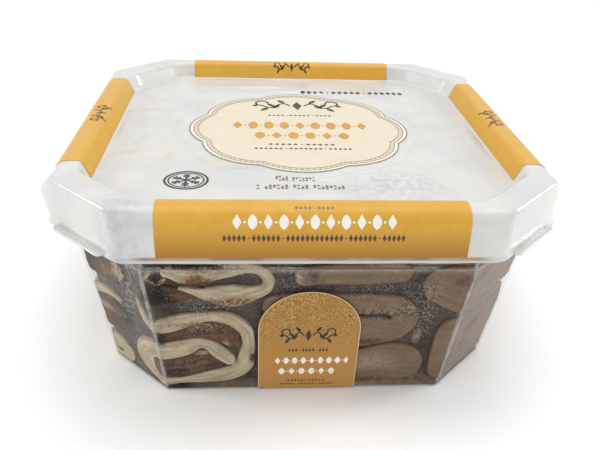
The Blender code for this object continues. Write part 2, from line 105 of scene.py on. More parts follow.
# Ribbon centre lines in the front view: x, z and half thickness at each point
RIBBONS = {
    "cream_fold_top": ((-49.4, 60.4, 3.3), (-44, 59, 4.4), (-37, 59.6, 4.2), (-30, 61.2, 3.8),
        (-23, 62.4, 3), (-17.4, 60.4, 2.4), (-14.8, 56.4, 2.2), (-15.8, 52.4, 2.4), (-20.5, 50.2, 3.4),
        (-27, 48.8, 5), (-34, 49, 4.1), (-41, 50.8, 1.9), (-46.4, 52.5, 0.7)),
    "cream_curl": ((-57, 59.6, 1), (-58.3, 57.2, 1.1), (-56.6, 55.2, 1.2), (-53.6, 54.9, 1),
        (-51.8, 56.6, 0.7)),
    "cream_fold_low": ((-53.6, 4, 2), (-46, 5.4, 2.2), (-38, 6.4, 3), (-30, 8.2, 3.9), (-24.4, 12.6, 3.9),
        (-22.8, 19, 3), (-22.2, 26, 2.5), (-23.6, 32, 2.8), (-28.6, 37.2, 2.9), (-36, 38.6, 2.4),
        (-44, 37.2, 3.2), (-51, 35, 3.9), (-56.4, 33.4, 3), (-60, 35, 1.9), (-61.6, 39, 1.5),
        (-62.6, 44, 1.1)),
    "cream_tongue": ((-57, 3.6, 2.2), (-60.6, 6.6, 3.2), (-62.6, 11, 4), (-62.6, 16, 4.1), (-59.2, 20, 4.3),
        (-53, 21, 4.3), (-46.5, 22.8, 4.4), (-41, 25, 2.7), (-36.6, 23.6, 2.6), (-33.4, 19.8, 3.2),
        (-30.2, 16.4, 2.8)),
    "cream_side": ((-86, 4, 6.4), (-79.5, 5.4, 6.9), (-75.4, 6.2, 6.8)),
    "cream_edge": ((-90, 32.6, 1.9), (-82.5, 36, 2.2), (-76.4, 37.6, 1.9), (-71.4, 36.4, 1.3)),
    "cream_crown": ((-90, 73, 5), (-74, 74.8, 4.6), (-58, 71.4, 4.4), (-42, 73.6, 4.8), (-26, 71.8, 4.2),
        (-8, 73.8, 4.4)),
    "cocoa_fold_top": ((-55.8, 48.9, 4.9), (-51.5, 49.2, 4.6), (-47, 48.8, 3), (-43.4, 49.4, 1.3)),
    "cocoa_core_mid": ((-55.4, 27.8, 2.8), (-49, 29.4, 3.2), (-43, 31.4, 4), (-36.5, 32.2, 4.8),
        (-31, 29.6, 4.8), (-27.6, 25, 3.2)),
    "cocoa_core_low": ((-55, 11.2, 5.6), (-49.5, 11.8, 5.9), (-44.5, 13.4, 5.8), (-40.2, 15.2, 6.2),
        (-36.4, 14.8, 4.8), (-33, 13.8, 2.8), (-29.8, 13, 1)),
    "cocoa_side": ((-94, 24.6, 9), (-85, 25.2, 9.3), (-77.6, 25.6, 9)),
    "cocoa_edge": ((-92, 50.4, 6), (-84, 50.6, 6), (-74.4, 51.4, 7.2)),
    "coffee_fold_top": ((-0.8, 58, 4.6), (6, 59, 4.9), (18, 59.2, 5.2), (31.6, 59.8, 4.9)),
    "coffee_fold_mid": ((-12, 44.2, 4.8), (6, 44.4, 5), (22, 44.3, 5), (32.4, 43.4, 5), (36.8, 38.2, 5.2),
        (33.2, 32, 5.8), (22, 30.4, 7.6), (0, 29, 7.4)),
    "coffee_fold_low": ((-12, 9.2, 6.4), (8, 10.8, 7.8), (22, 12, 9), (31, 13.4, 10), (36.6, 13.8, 9.9)),
    "coffee_side_top": ((51, 53.6, 9.6), (57.5, 51.4, 11.2), (66, 50.8, 11.7), (79, 51.4, 10.8),
        (96, 53.4, 10)),
    "coffee_side_low": ((60.5, 19.6, 16.6), (68, 19.4, 17.2), (80, 19.8, 17), (96, 20.8, 16.6)),
    "coffee_crown": ((2, 72.4, 5), (18, 74.6, 4.6), (34, 71.2, 4.6), (50, 73.8, 4.8), (66, 71.6, 4.4),
        (90, 74.4, 5)),
}

# Stains in the ice cream, seen on the front: x, z, reach along x and z, strength of warm, dark and pale. Some
# dark ones are painted shade and one pale one a painted highlight, as marked below.
STAINS_AND_PAINTED_LIGHT = (
    (-41, 55.4, 3.6, 2.8, 1, 0, 0),
    # painted shade under the lid's rim, with a brownish tint
    (-38, 61.6, 11, 2.4, 0.30, 0.34, 0),
    (-39, 56.6, 8, 1.8, 0.60, 0.16, 0),
    # painted shade under the lid's rim, with a brownish tint
    (-42, 64.4, 15, 2.7, 0.3, 0.9, 0),
    (27, 65.4, 13, 2.2, 0, 0, 0.6),
    (24, 14, 14, 5, 0, 0, 0.55),
    (-55, 47, 7, 9, 0, 0.9, 0),
    (-38.5, 53.4, 1.6, 1, 0.2, 1, 0),
    (-25, 46.4, 9, 2.6, 0.75, 0.15, 0),
    (-36, 46.4, 5, 1.6, 0.3, 0.4, 0),
    (-56.8, 49.5, 3.6, 6, 0, 1, 0),
    (-48.4, 48.2, 4.8, 2.2, 0.8, 0, 0),
    (-50.5, 46.4, 3, 1, 0, 0.7, 0),
    (-40, 34.6, 8, 1.6, 0.8, 0.15, 0),
    # painted shade in the notch at the outer edge of the C
    (-20.7, 17.5, 1.3, 2.2, 0, 1, 0),
    (-36, 29, 7, 2, 0.5, 0, 0),
    # painted highlight on the end of the cocoa core
    (-31, 25.2, 1.6, 1.3, 0, 0, 1),
    (-55.5, 27.5, 2.6, 3.4, 0, 1, 0),
    (-39, 15.2, 2.2, 1.4, 0.9, 0, 0),
    (-39.5, 20.4, 4, 1.3, 0.1, 0, 0.7),
    (-50, 9.6, 6, 3, 0, 0.6, 0),
    (-83, 51, 4, 8, 0, 0.8, 0),
    (-75.4, 50, 3, 3.6, 0.9, 0, 0),
    (-69.6, 53.4, 2.6, 5, 0, 0, 1),
    (-80, 28.4, 5, 1.8, 0.1, 0, 0.9),
    (-84, 20, 4, 4, 0.2, 0.6, 0),
    (-75.5, 4.8, 1.4, 1.1, 1, 1, 0),
    (-4.4, 57.6, 1.4, 5, 0, 0, 1),
    (1, 58, 2.8, 2.8, 0.2, 0.6, 0),
    # painted shade in a crease, with a reddish tint
    (27, 39.4, 8, 1.2, 0.5, 0.9, 0),
    (25, 25.8, 8, 2.2, 0.8, 0.2, 0),
    (28, 4.6, 12, 1.8, 0.5, 0.2, 0),
    (56, 55.4, 3.4, 2.6, 0.6, 0.3, 0),
    (64.5, 55, 3.4, 2.6, 0.6, 0.4, 0),
    (67.5, 26, 4.6, 3.2, 0.8, 0.4, 0),
    (64, 17, 0.9, 3.2, 0, 1, 0),
)

# Shades of the frosty mass between the ribbons at the front: x, z, reaches, strength of cream, tan and dark;
# the dark is painted shade, deepest under the lid's collar
GAP_SHADES = (
    (-43, 64.4, 12, 2.2, 0, 0, 1),
    (-23, 64.2, 6, 2.2, 1, 0, 0),
    (1, 64.2, 4, 2.2, 0, 0, 0.8),
    (25, 64.6, 12, 2.8, 0.2, 1, 0),
    (48, 64.6, 12, 3, 0.7, 0.7, 0),
    (-55, 58, 2.6, 2, 0, 0, 0.5),
    (-53, 41, 7, 3.6, 0, 0, 0.45),
    (-50, 1.4, 6, 2.2, 0, 0, 1),
    (-40, 1.2, 0.9, 2.4, 0.8, 0, 0),
    (10, 1.2, 50, 3, 0.10, 0.8, 0),
    (46.2, 22, 1.4, 8, 0, 0, 0.8),
    (43, 27, 1.4, 3.6, 0.5, 0.2, 0),
    (46, 5, 4, 4, 0.2, 0, 0),
)

# Clouds of frost on the ice and the mass behind it, seen on the front: x, z, reach along x and z, strength
FROST = (
    (-68, 42, 4.6, 20, 1),
    (-66, 57, 3.4, 8, 0.9),
    (-38, 42.6, 12, 3.4, 1),
    (-31, 46, 10, 3, 0.6),
    (-7.5, 56, 5, 8, 1),
    (42, 46, 7, 10, 1),
    (46, 34, 4, 8, 0.9),
    (26, 40, 9, 4, 0.7),
    (22, 51.6, 14, 3, 0.8),
    (-39, 34, 10, 2.6, 0.9),
    (-46, 13, 8, 5, 0.4),
    (78, 40, 5, 5, 0.7),
    (-74, 13, 4, 4, 0.5),
    (44, 22, 3, 8, 0.4),
)

# Patches on the lid: x, y, reach along x, reach along y, strength of warm, grey and frost; the grey at the
# front left cut corner is a painted bluish reflection
LID_PATCHES = (
    (-35.5, -38.5, 5.5, 2.6, 1, 0, 0),
    (-24, -41.5, 10, 2.2, 0, 0.8, 0),
    (76, 21, 6, 9, 0.7, 0, 0),
    (76.8, -40, 4, 10, 0.7, 0, 0),
    (6, -37.8, 5, 1.6, 0.6, 0, 0),
    (33, -56, 20, 12, 0, 0.3, 1),
    (-74, 23.4, 9, 1.6, 1, 0, 0),
    (-69, -28.2, 9, 1.8, 1, 0, 0),
    (-66, -12, 9, 8, 0.1, 0.2, 0.6),
    (-54, -30, 5, 8, 0.3, 0.3, 0.2),
    # painted reflection: the bluish grey patch on the front left cut corner
    (-64, -90, 8, 8, 0, 1, 0.3),
    (-64, 76, 8, 8, 0, 0.2, 0),
)

# Creases of the panel: x, y, length, width, turn, height
CREASES = (
    (-70, 23, 9, 1.5, 0.05, 0.9),
    (-68, -28, 9, 1.6, 0.25, 1),
    (-54, -31, 1.6, 7, 0.2, 0.7),
    (65, -11, 2, 9, -0.3, 0.7),
    (60, 34, 8, 1.8, -0.5, 0.6),
    (62, -34, 7, 2, 0.8, 0.6),
    (24, -62, 14, 2, 0.1, 0.5),
    (38, -50, 5, 1.6, 0.6, 0.5),
    (-20, 66, 14, 2, 0.05, 0.5),
)


def smooth_min(a, b, reach):
    """The lower of two values, blended within the reach."""
    over = np.maximum(reach - np.abs(a - b), 0.0)
    return np.minimum(a, b) - over ** 2 / (4 * reach)


def step_up(value, low, high):
    """0 below low, 1 above high and smooth between."""
    t = np.clip((value - low) / (high - low), 0.0, 1.0)
    return t * t * (3 - 2 * t)


def wave(x, y, z, size):
    """Smooth noise from about -1 to 1 with features of the given size."""
    return noise.noise(Vector((x, y, z)) / size)


def piece(name, verts, faces, finish, slot, smooth=True):
    """A mesh in millimetres becomes an object that rides on the tub."""
    mesh = bpy.data.meshes.new(name)
    mesh.from_pydata([Vector(vert) * MM for vert in verts], [], faces)
    mesh.validate()
    if smooth:
        mesh.shade_smooth()
    item = bpy.data.objects.new(name, mesh)
    bpy.context.scene.collection.objects.link(item)
    item.data.materials.append(finish)
    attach(item, "root")
    return item


def points_of(item):
    """A piece's points in millimetres, one a row."""
    return np.array([vert.co / MM for vert in item.data.vertices])


def store(item, name, kind, field, values):
    """Stores a value at each point of a piece under a name."""
    item.data.attributes.new(name, kind, "POINT").data.foreach_set(field, values.ravel())


def colour_points(item, name, spots, up=False, seed=None):
    """Stores three strengths at each point, from the spots seen on the front, or on top where up is set."""
    verts = points_of(item)
    first, second = (0, 1) if up else (0, 2)
    values = np.zeros((len(verts), 4))
    values[:, 3] = 1.0
    front = np.ones(len(verts)) if up else step_up(-verts[:, 1], *FRONT_FADE)
    for a, b, reach_a, reach_b, *strengths in spots:
        near = np.exp(-((verts[:, first] - a) / reach_a) ** 2 - ((verts[:, second] - b) / reach_b) ** 2)
        values[:, :len(strengths)] += (near * front)[:, None] * np.array(strengths)
    if seed is not None:
        for i, vert in enumerate(verts):
            for channel in range(3):
                spot = wave(vert[0] + 50 * channel, vert[1] + seed, vert[2], 9.0)
                values[i, channel] += max(0.0, spot - 0.18) * 1.3 * (1 - front[i] * 0.8)
    store(item, name, "FLOAT_COLOR", "color", np.clip(values, 0.0, 1.0))


def frost_points(item):
    """Stores how much frost lies on each point: the named clouds at the front, loose ones elsewhere."""
    verts = points_of(item)
    x, y, z = verts.T
    front = step_up(-y, *FRONT_FADE)
    frost = np.array([max(0.0, wave(*vert, 15.0) - 0.02) * 2.2 for vert in verts]) * (1 - 0.9 * front)
    for a, b, reach_a, reach_b, strength in FROST:
        frost += strength * front * np.exp(-((x - a) / reach_a) ** 2 - ((z - b) / reach_b) ** 2)
    store(item, "frost", "FLOAT", "value", np.clip(frost, 0.0, 1.0))


def weld(item, distance, outwards=True):
    """Joins points closer than the distance and, where outwards is set, turns a closed mesh's faces out."""
    builder = bmesh.new()
    builder.from_mesh(item.data)
    bmesh.ops.remove_doubles(builder, verts=builder.verts, dist=distance * MM)
    if outwards:
        bmesh.ops.recalc_face_normals(builder, faces=builder.faces)
    builder.to_mesh(item.data)
    builder.free()


# Shapes of the shells

def plan_ring(half, cut, radius, height):
    """One level of the eight-sided plan, as an array of points, its straight runs split up."""
    inset = half - cut + radius - radius * math.sqrt(2)
    corners = []
    for x, y, start in ((half - radius, inset, 0.0), (inset, half - radius, 45.0)):
        angles = np.radians(start + 45.0 * np.arange(CORNER_STEPS + 1) / CORNER_STEPS)
        corners.append(np.stack((x + radius * np.cos(angles), y + radius * np.sin(angles)), axis=1))
    across = np.linspace(0, 1, CHAMFER_STEPS + 1)[1:-1, None]
    chamfer = corners[0][-1] * (1 - across) + corners[1][0] * across
    along = np.linspace(0, 1, LONG_STEPS + 1)[1:-1, None]
    last = corners[1][-1]
    side = last * (1 - along) + np.array((-last[0], last[1])) * along
    quarter = np.concatenate((corners[0], chamfer, corners[1], side))
    ring = []
    for turn in range(4):
        angle = math.radians(90 * turn)
        spin = np.array(((math.cos(angle), -math.sin(angle)), (math.sin(angle), math.cos(angle))))
        ring.append(quarter @ spin.T)
    ring = np.concatenate(ring)
    return np.column_stack((ring, np.full(len(ring), height)))


def chamfer_share():
    """For each point of a plan ring, 1 on the cut corners and 0 on the long sides."""
    rise = np.linspace(0, 1, CORNER_STEPS + 1)
    quarter = np.concatenate((rise, np.ones(CHAMFER_STEPS - 1), rise[::-1], np.zeros(LONG_STEPS - 1)))
    return np.tile(quarter, 4)[:, None]


def rounded_path(points, rounds, steps=ROUND_STEPS):
    """A path of straight runs with its inner points rounded; rounds holds one reach per inner point."""
    points = [np.array(point) for point in points]
    path = [points[0]]
    for before, point, after, reach in zip(points, points[1:], points[2:], rounds):
        start = point + (before - point) * reach / np.linalg.norm(before - point)
        end = point + (after - point) * reach / np.linalg.norm(after - point)
        for t in np.linspace(0, 1, steps + 1):
            path.append(start * (1 - t) ** 2 + point * 2 * t * (1 - t) + end * t ** 2)
    path.append(points[-1])
    return path


def lid_sections(shoulder):
    """The lid's outer surface from the panel out to the lip, as (half, cut, radius, height)."""
    corners = ((PANEL_HALF - PANEL_FLAT, PANEL_CUT, PANEL_RADIUS, PANEL_Z),
               (PANEL_HALF, PANEL_CUT, PANEL_RADIUS, PANEL_Z),
               (CREST_HALF, CREST_CUT, CREST_RADIUS, CREST_Z),
               (SKIRT_HALF, SKIRT_CUT, SKIRT_RADIUS, CREST_Z),
               (SKIRT_HALF, SKIRT_CUT, SKIRT_RADIUS, SKIRT_FOOT_Z),
               (LIP_HALF, LIP_CUT, LIP_RADIUS, LIP_Z))
    return rounded_path(corners, (PANEL_ROUND, CREST_ROUND, shoulder, LIP_ROUND))


def rings_to_mesh(rings, ends=True):
    """Points and faces between rings of equal length, with a face over each end where ends is set."""
    count = len(rings[0])
    faces = []
    for low in range(0, (len(rings) - 1) * count, count):
        high = low + count
        for i in range(count):
            j = (i + 1) % count
            faces.append((low + i, low + j, high + j, high + i))
    if ends:
        faces += [tuple(range(count)), tuple(range((len(rings) - 1) * count, len(rings) * count))]
    return np.concatenate(rings), faces


def shell(name, rings, wall, finish, slot):
    """A closed thin shell: rings from the closed middle outwards, thickened inwards."""
    verts, faces = rings_to_mesh(rings, ends=False)
    faces.append(tuple(range(len(rings[0]))))
    item = piece(name, verts, faces, finish, slot)
    weld(item, WELD)
    solid = item.modifiers.new("Wall", "SOLIDIFY")
    solid.thickness = wall * MM
    solid.offset = -1.0
    solid.use_even_offset = True
    return item


def panel_height(x, y):
    """Height of the sunk panel's soft waves and creases, flat under the plaque."""
    reach = np.hypot(x, y - PLAQUE_SHIFT)
    free = step_up(reach - PLAQUE_RADIUS, *PLAQUE_MARGIN)
    lift = np.array([sum(height * wave(a, b, seed, size) for height, seed, size in PANEL_WAVES)
                     for a, b in zip(x, y)])
    for cx, cy, long, wide, turn, height in CREASES:
        dx, dy = x - cx, y - cy
        u = dx * math.cos(turn) + dy * math.sin(turn)
        v = -dx * math.sin(turn) + dy * math.cos(turn)
        lift += height * np.exp(-(u / long) ** 2 - ((v - CREASE_CURL * u * u / long) / wide) ** 2)
    return lift * free


def panel_relief(ring):
    """A ring of the panel, lifted into its soft waves and creases."""
    ring = ring.copy()
    ring[:, 2] += panel_height(ring[:, 0], ring[:, 1])
    return ring


def corner_bulge(ring):
    """Swells the skirt outwards beside the front left corner."""
    x, y, z = ring.T
    near = np.exp(-((x - BULGE_AT[0]) ** 2 + (y - BULGE_AT[1]) ** 2) / BULGE_REACH ** 2)
    tall = step_up(z, *BULGE_FOOT) * (1 - step_up(z, *BULGE_HEAD))
    ring = ring.copy()
    ring[:, 0] -= BULGE * near * tall
    return ring


def make_lid(finish):
    """The milky lid, its shoulder crisper on the cut corners."""
    share = chamfer_share()
    soft = [plan_ring(*section) for section in lid_sections(LID_SHOULDER_ROUND)]
    crisp = [plan_ring(*section) for section in lid_sections(CHAMFER_SHOULDER_ROUND)]
    border = [corner_bulge(a * (1 - share) + b * share) for a, b in zip(soft, crisp)]
    middle = np.array((0.0, 0.0, PANEL_Z))
    shrink = np.linspace(0.02, 1.0, PANEL_RINGS)[:-1, None, None]
    panel = [panel_relief(middle + (border[0] - middle) * t) for t in shrink]
    rings = panel + [panel_relief(ring) if ring[:, 2].max() < PANEL_Z + 0.01 else ring for ring in border]
    lid = shell("lid_shell", rings, LID_WALL, finish, "milky_plastic")
    colour_points(lid, "patch", LID_PATCHES, up=True)
    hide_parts("lid")
    return lid


def tab_outline():
    """Outline of a lift tab with two round corners, its outer edge at x = 0."""
    half, reach = TAB_LENGTH / 2, TAB_REACH + TAB_ROOT
    points = [(-reach, -half)]
    for x, y, start in ((-TAB_ROUND, -half + TAB_ROUND, -90), (-TAB_ROUND, half - TAB_ROUND, 0)):
        for step in range(7):
            angle = math.radians(start + 15 * step)
            points.append((x + TAB_ROUND * math.cos(angle), y + TAB_ROUND * math.sin(angle)))
    points.append((-reach, half))
    return points


def make_tabs(finish):
    """The four lift tabs, one at the foot of each cut corner."""
    outer = (2 * LIP_HALF - LIP_CUT) / math.sqrt(2) + TAB_REACH
    foot = LIP_Z + TAB_LIFT
    outline = tab_outline()
    for corner in range(4):
        turn = math.radians(45 + 90 * corner)
        verts = []
        for height in (foot, foot + TAB_THICKNESS):
            for x, side in outline:
                out = outer + x
                verts.append((out * math.cos(turn) - side * math.sin(turn),
                              out * math.sin(turn) + side * math.cos(turn), height))
        count = len(outline)
        faces = [tuple(range(count))[::-1], tuple(range(count, 2 * count))]
        faces += [(i, (i + 1) % count, count + (i + 1) % count, count + i) for i in range(count)]
        item = piece(f"lid_tab_{corner}", verts, faces, finish, "milky_plastic")
        soften = item.modifiers.new("Round", "BEVEL")
        soften.width = TAB_BEVEL * MM
        soften.segments = 3
        soften.angle_limit = math.radians(50)


def make_tub(finish):
    """The clear tub with its collar and rim."""
    levels = ((BASE_HALF - BASE_FLAT, BASE_CUT, 0.0), (BASE_HALF, BASE_CUT, 0.0),
              (SHOULDER_HALF, SHOULDER_CUT, SHOULDER_Z), (COLLAR_HALF, COLLAR_CUT, COLLAR_Z),
              (RIM_HALF, RIM_CUT, RIM_Z))
    corners = [(half, cut, TUB_CORNER_RADIUS, height) for half, cut, height in levels]
    path = rounded_path(corners, (BASE_ROUND, COLLAR_ROUND, COLLAR_ROUND), 4)
    sections = []
    for section, after in zip(path, path[1:]):
        steps = max(1, round((after[3] - section[3]) / SHOULDER_Z * WALL_RINGS))
        sections += [section + (after - section) * k / steps for k in range(steps)]
    rings = [plan_ring(*section) for section in sections + [path[-1]]]
    tub = shell("tub_wall", rings, TUB_WALL, finish, "clear_plastic")
    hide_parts("tub")
    wall_glow(tub)
    return tub


def wall_glow(tub):
    """Stores how near each point is to one of the wall's bright edges: the uprights and the collar's foot."""
    x, y, z = points_of(tub).T
    half, reach = wall_half(z, 0.0)
    low, high = np.minimum(np.abs(x), np.abs(y)), np.maximum(np.abs(x), np.abs(y))
    upright = np.exp(-((low - (reach - half)) ** 2 + (high - half) ** 2) / EDGE_GLOW ** 2)
    collar = COLLAR_GLOW * np.exp(-((z - SHOULDER_Z) / COLLAR_GLOW_REACH) ** 2)
    store(tub, "glow", "FLOAT", "value", np.clip(upright + collar, 0.0, 1.0))


# Shapes of the ice cream

def wall_half(z, inset):
    """Half width of the tub's plan at a height, and the reach of its cut corners, set in by inset."""
    heights = (0.0, SHOULDER_Z, COLLAR_Z, RIM_Z)
    half = np.interp(z, heights, (BASE_HALF, SHOULDER_HALF, COLLAR_HALF, RIM_HALF))
    cut = np.interp(z, heights, (BASE_CUT, SHOULDER_CUT, COLLAR_CUT, RIM_CUT))
    return half - inset, 2 * half - cut - inset * math.sqrt(2)


def wall_y(x, z, inset):
    """How far the wall is from the middle along Y, at the place (x, z)."""
    half, reach = wall_half(z, inset)
    return smooth_min(half, reach - np.abs(x), WALL_BLEND)


def sway(x, y, z):
    """Where a point of a ribbon goes as the ribbon wanders from front to back."""
    depth = (y - FOOD_FRONT) / (FOOD_BACK - FOOD_FRONT)
    rise = 2 * math.pi * SWAY_HEIGHT_TURNS * depth + x / SWAY_LEAN
    return (x + SWAY_SIDE * np.sin(2 * math.pi * SWAY_SIDE_TURNS * depth) * depth,
            z + SWAY_HEIGHT * np.sin(rise) * depth)


def centre_line(points):
    """A smooth line through a ribbon's centre points, as rows of x, z and half thickness."""
    points = np.array(points, float)
    padded = np.concatenate(([2 * points[0] - points[1]], points, [2 * points[-1] - points[-2]]))
    rows = []
    for a, b, c, d in zip(padded, padded[1:], padded[2:], padded[3:]):
        count = max(2, round(np.linalg.norm(c[:2] - b[:2]) / SECTION_STEP))
        for t in np.arange(count) / count:
            rows.append(0.5 * (2 * b + (c - a) * t + (2 * a - 5 * b + 4 * c - d) * t ** 2
                               + (3 * b - a - 3 * c + d) * t ** 3))
    rows.append(points[-1])
    return np.array(rows)


def ribbon_sections(points, seed, blunt):
    """Sections along a ribbon: centre, direction across, half thickness, place along it, and if on a side."""
    rows = centre_line(points)
    ahead = np.gradient(rows[:, :2], axis=0)
    ahead /= np.linalg.norm(ahead, axis=1)[:, None]
    length = np.concatenate(([0.0], np.cumsum(np.linalg.norm(np.diff(rows[:, :2], axis=0), axis=1))))
    sections = []
    for row, along, at in zip(rows, ahead, length):
        thick = row[2] * (1 + THICK_WAVE[0] * wave(at, seed, 0.0, THICK_WAVE[1]))
        shift = sum(reach * wave(at, seed, layer, size) for reach, layer, size in SHIFT_WAVES)
        across = np.array((-along[1], along[0]))
        sections.append((row[:2] + across * shift, across, thick, at, False))
    walls = [abs(row[0]) > wall_half(row[1], 0.0)[0] - 1.0 for row in rows]
    inside = [section for section, wall in zip(sections, walls) if not wall]
    first = end_sections(inside[::-1], walls[0], blunt)[::-1]
    return first + inside + end_sections(inside, walls[-1], blunt)


def end_sections(inside, at_wall, blunt):
    """The sections that close one end: round or blunt, or flat against the tub's side."""
    centre, across, thick, at, _ = inside[-1]
    along = centre - inside[-2][0]
    along /= np.linalg.norm(along)
    step = 1 if at >= inside[0][3] else -1
    closing = []
    if at_wall:
        gap = wall_half(centre[1], 0.0)[0] + 1.0 - abs(centre[0])
        for t in np.linspace(0, 1, 5)[1:]:
            closing.append((centre + along * gap * t, across, thick, at, True))
        base = closing[-1][0]
        for t in np.linspace(0, 1, END_STEPS)[1:]:
            closing.append((base, across, thick * (1 - 0.995 * t), at, True))
        return closing
    reach, power = (BLUNT_REACH, BLUNT_POWER) if blunt else (1.0, 1.0)
    for t in np.linspace(0, 1, END_STEPS + 1)[1:]:
        angle = math.pi / 2 * min(t, 0.995)
        ahead = thick * reach * math.sin(angle) ** power
        half = thick * math.cos(angle) ** power
        closing.append((centre + along * ahead, across, half, at + step * ahead, False))
    return closing


def ribbon_border(sections):
    """The ribbon's two edges in the front view, without the parts that a tight bend folds inside."""
    free = [section for section in sections if not section[4]]
    centres = np.array([section[0] for section in free])
    thick = np.array([section[2] for section in free])
    paths = []
    for side in (-1, 1):
        path = np.array([centre + across * half * side for centre, across, half, _, _ in free])
        apart = np.linalg.norm(path[:, None] - centres[None], axis=2) / np.maximum(thick, 0.3)[None]
        path = path[apart.min(axis=1) > 0.95]
        if sections[0][4]:
            path = np.concatenate(([path[0] + (path[0] - path[1]) * 30], path))
        if sections[-1][4]:
            path = np.concatenate((path, [path[-1] + (path[-1] - path[-2]) * 30]))
        paths.append(path)
    return paths


def distance_to(spots, path):
    """How far each spot is from a path of straight runs."""
    run = np.diff(path, axis=0)
    from_start = spots[:, None] - path[None, :-1]
    share = np.clip((from_start * run).sum(axis=2) / np.maximum((run ** 2).sum(axis=1), 1e-9), 0, 1)
    return np.linalg.norm(from_start - share[..., None] * run, axis=2).min(axis=1)


def ribbon_mesh(points, seed, grip, blunt):
    """Points, faces and flow coordinates of one ribbon, lying on the wall at the front and the back."""
    sections = ribbon_sections(points, seed, blunt)
    border = ribbon_border(sections)
    inset = TUB_WALL - grip
    across_at = np.sin(np.linspace(-1, 1, ACROSS_STEPS + 1) * math.pi / 2)
    stations = (1 - np.cos(np.linspace(0, 1, 18)[1:-1] * math.pi)) / 2
    bend = min(EDGE_ROUND, 0.75 * max(section[2] for section in sections))
    rings, flows = [], []
    for centre, across, thick, at, _ in sections:
        spots = centre + across * (across_at * thick)[:, None]
        x, z = spots[:, 0], spots[:, 1]
        edge = np.minimum(*(distance_to(spots, path) for path in border))
        fall = np.clip(1 - edge / bend, 0.0, 1.0)
        depth = bend * (1 - np.sqrt(np.clip(1 - fall ** 2, 0.0, 1.0)))
        depth += np.array([max(0.0, FACE_WAVE[0] * wave(a, seed, b, FACE_WAVE[1]) - FACE_REST)
                           for a, b in zip(x, z)])
        front = np.stack((x, -wall_y(x, z, inset) + depth, z), axis=1)
        back_x, back_z = sway(x, BACK_PLACE, z)
        back = np.stack((back_x, wall_y(back_x, back_z, inset) - depth, back_z), axis=1)
        rows = [front]
        side_flow = [np.stack((np.full(len(x), at), across_at * thick, np.zeros(len(x))), axis=1)]
        for j, order in ((-1, stations), (0, stations[::-1])):
            y = front[j, 1] + (back[j, 1] - front[j, 1]) * order
            side_x, side_z = sway(np.full(len(y), x[j]), y, np.full(len(y), z[j]))
            swell = np.array([SIDE_WAVE[0] * wave(b, seed + j, at, SIDE_WAVE[1]) for b in y])
            swell *= np.minimum(1, 1 - abs(2 * order - 1))
            rows.append(np.stack((side_x + across[0] * swell, y, side_z + across[1] * swell), axis=1))
            half = np.full(len(y), across_at[j] * thick)
            side_flow.append(np.stack((np.full(len(y), at), half, y), axis=1))
            if j == -1:
                rows.append(back[::-1])
                side_flow.append(side_flow[0][::-1] + np.array((0.0, 0.0, BACK_FLOW)))
        rings.append(np.concatenate(rows))
        flows.append(np.concatenate(side_flow))
    verts, faces = rings_to_mesh(rings)
    limit_x, _ = wall_half(verts[:, 2], inset)
    verts[:, 0] = np.clip(verts[:, 0], -limit_x, limit_x)
    half_y = wall_y(verts[:, 0], verts[:, 2], inset)
    verts[:, 1] = np.clip(verts[:, 1], -half_y, half_y)
    verts[:, 2] = np.clip(verts[:, 2], inset, FOOD_TOP)
    return verts, faces, np.concatenate(flows)


def make_ribbons(finishes):
    """Every ribbon of ice cream, as a soft form that stands for its plain solid."""
    for seed, (name, points) in enumerate(RIBBONS.items()):
        flavour = name.split("_")[0]
        verts, faces, flow = ribbon_mesh(points, 31.0 * seed, WALL_GRIP[flavour], name in BLUNT_ENDED)
        item = piece(f"{name}_ice", verts, faces, finishes[flavour], f"{flavour}_ice")
        store(item, "flow", "FLOAT_VECTOR", "vector", flow)
        colour_points(item, "stain_and_painted_light", STAINS_AND_PAINTED_LIGHT, seed=17.0 * seed)
        frost_points(item)
        weld(item, WELD)
        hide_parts(name)


def make_gap_mass(finish):
    """The dark frosty mass that shows between the ribbons, a little behind the wall; its darkness is partly
    painted shade of the deep gaps.
    """
    rings = []
    for height in np.concatenate((np.linspace(GAP_FOOT, GAP_FOOT_RISE, 9)[:-1],
                                  np.linspace(GAP_FOOT_RISE, GAP_TOP, 74))):
        depth = GAP_FOOT + (GAP_DEPTH - GAP_FOOT) * step_up(height, GAP_FOOT, GAP_FOOT_RISE)
        half, reach = wall_half(height, depth)
        ring = plan_ring(half, 2 * half - reach, 2.0, height)
        for point in ring:
            swell = sum(reach * wave(*point, size) for reach, size in GAP_WAVES)
            swell *= (depth - GAP_FOOT) / GAP_DEPTH
            out = np.array((point[0], point[1])) / np.hypot(point[0], point[1])
            point[:2] += out * swell
        rings.append(ring)
    item = piece("frozen_gap_and_shade", *rings_to_mesh(rings), finish, "cocoa_ice")
    colour_points(item, "shade", GAP_SHADES)
    frost_points(item)
    weld(item, WELD)


# Print

def lobed_path(inset, steps=20):
    """A closed ring of equal shallow lobes round the plaque's middle, set in from its edge."""
    tip, notch = PLAQUE_RADIUS - inset, PLAQUE_NOTCH_RADIUS - inset
    half_turn = math.pi / PLAQUE_LOBES
    chord = notch * math.sin(half_turn)
    rise = tip - notch * math.cos(half_turn)
    radius = (chord ** 2 + rise ** 2) / (2 * rise)
    reach = math.asin(chord / radius)
    path = []
    for lobe in range(PLAQUE_LOBES):
        middle = 2 * half_turn * lobe
        for step in range(steps):
            angle = reach * (2 * step / steps - 1)
            out = tip - radius + radius * math.cos(angle)
            side = radius * math.sin(angle)
            path.append((out * math.cos(middle) - side * math.sin(middle),
                         out * math.sin(middle) + side * math.cos(middle) + PLAQUE_SHIFT))
    return path


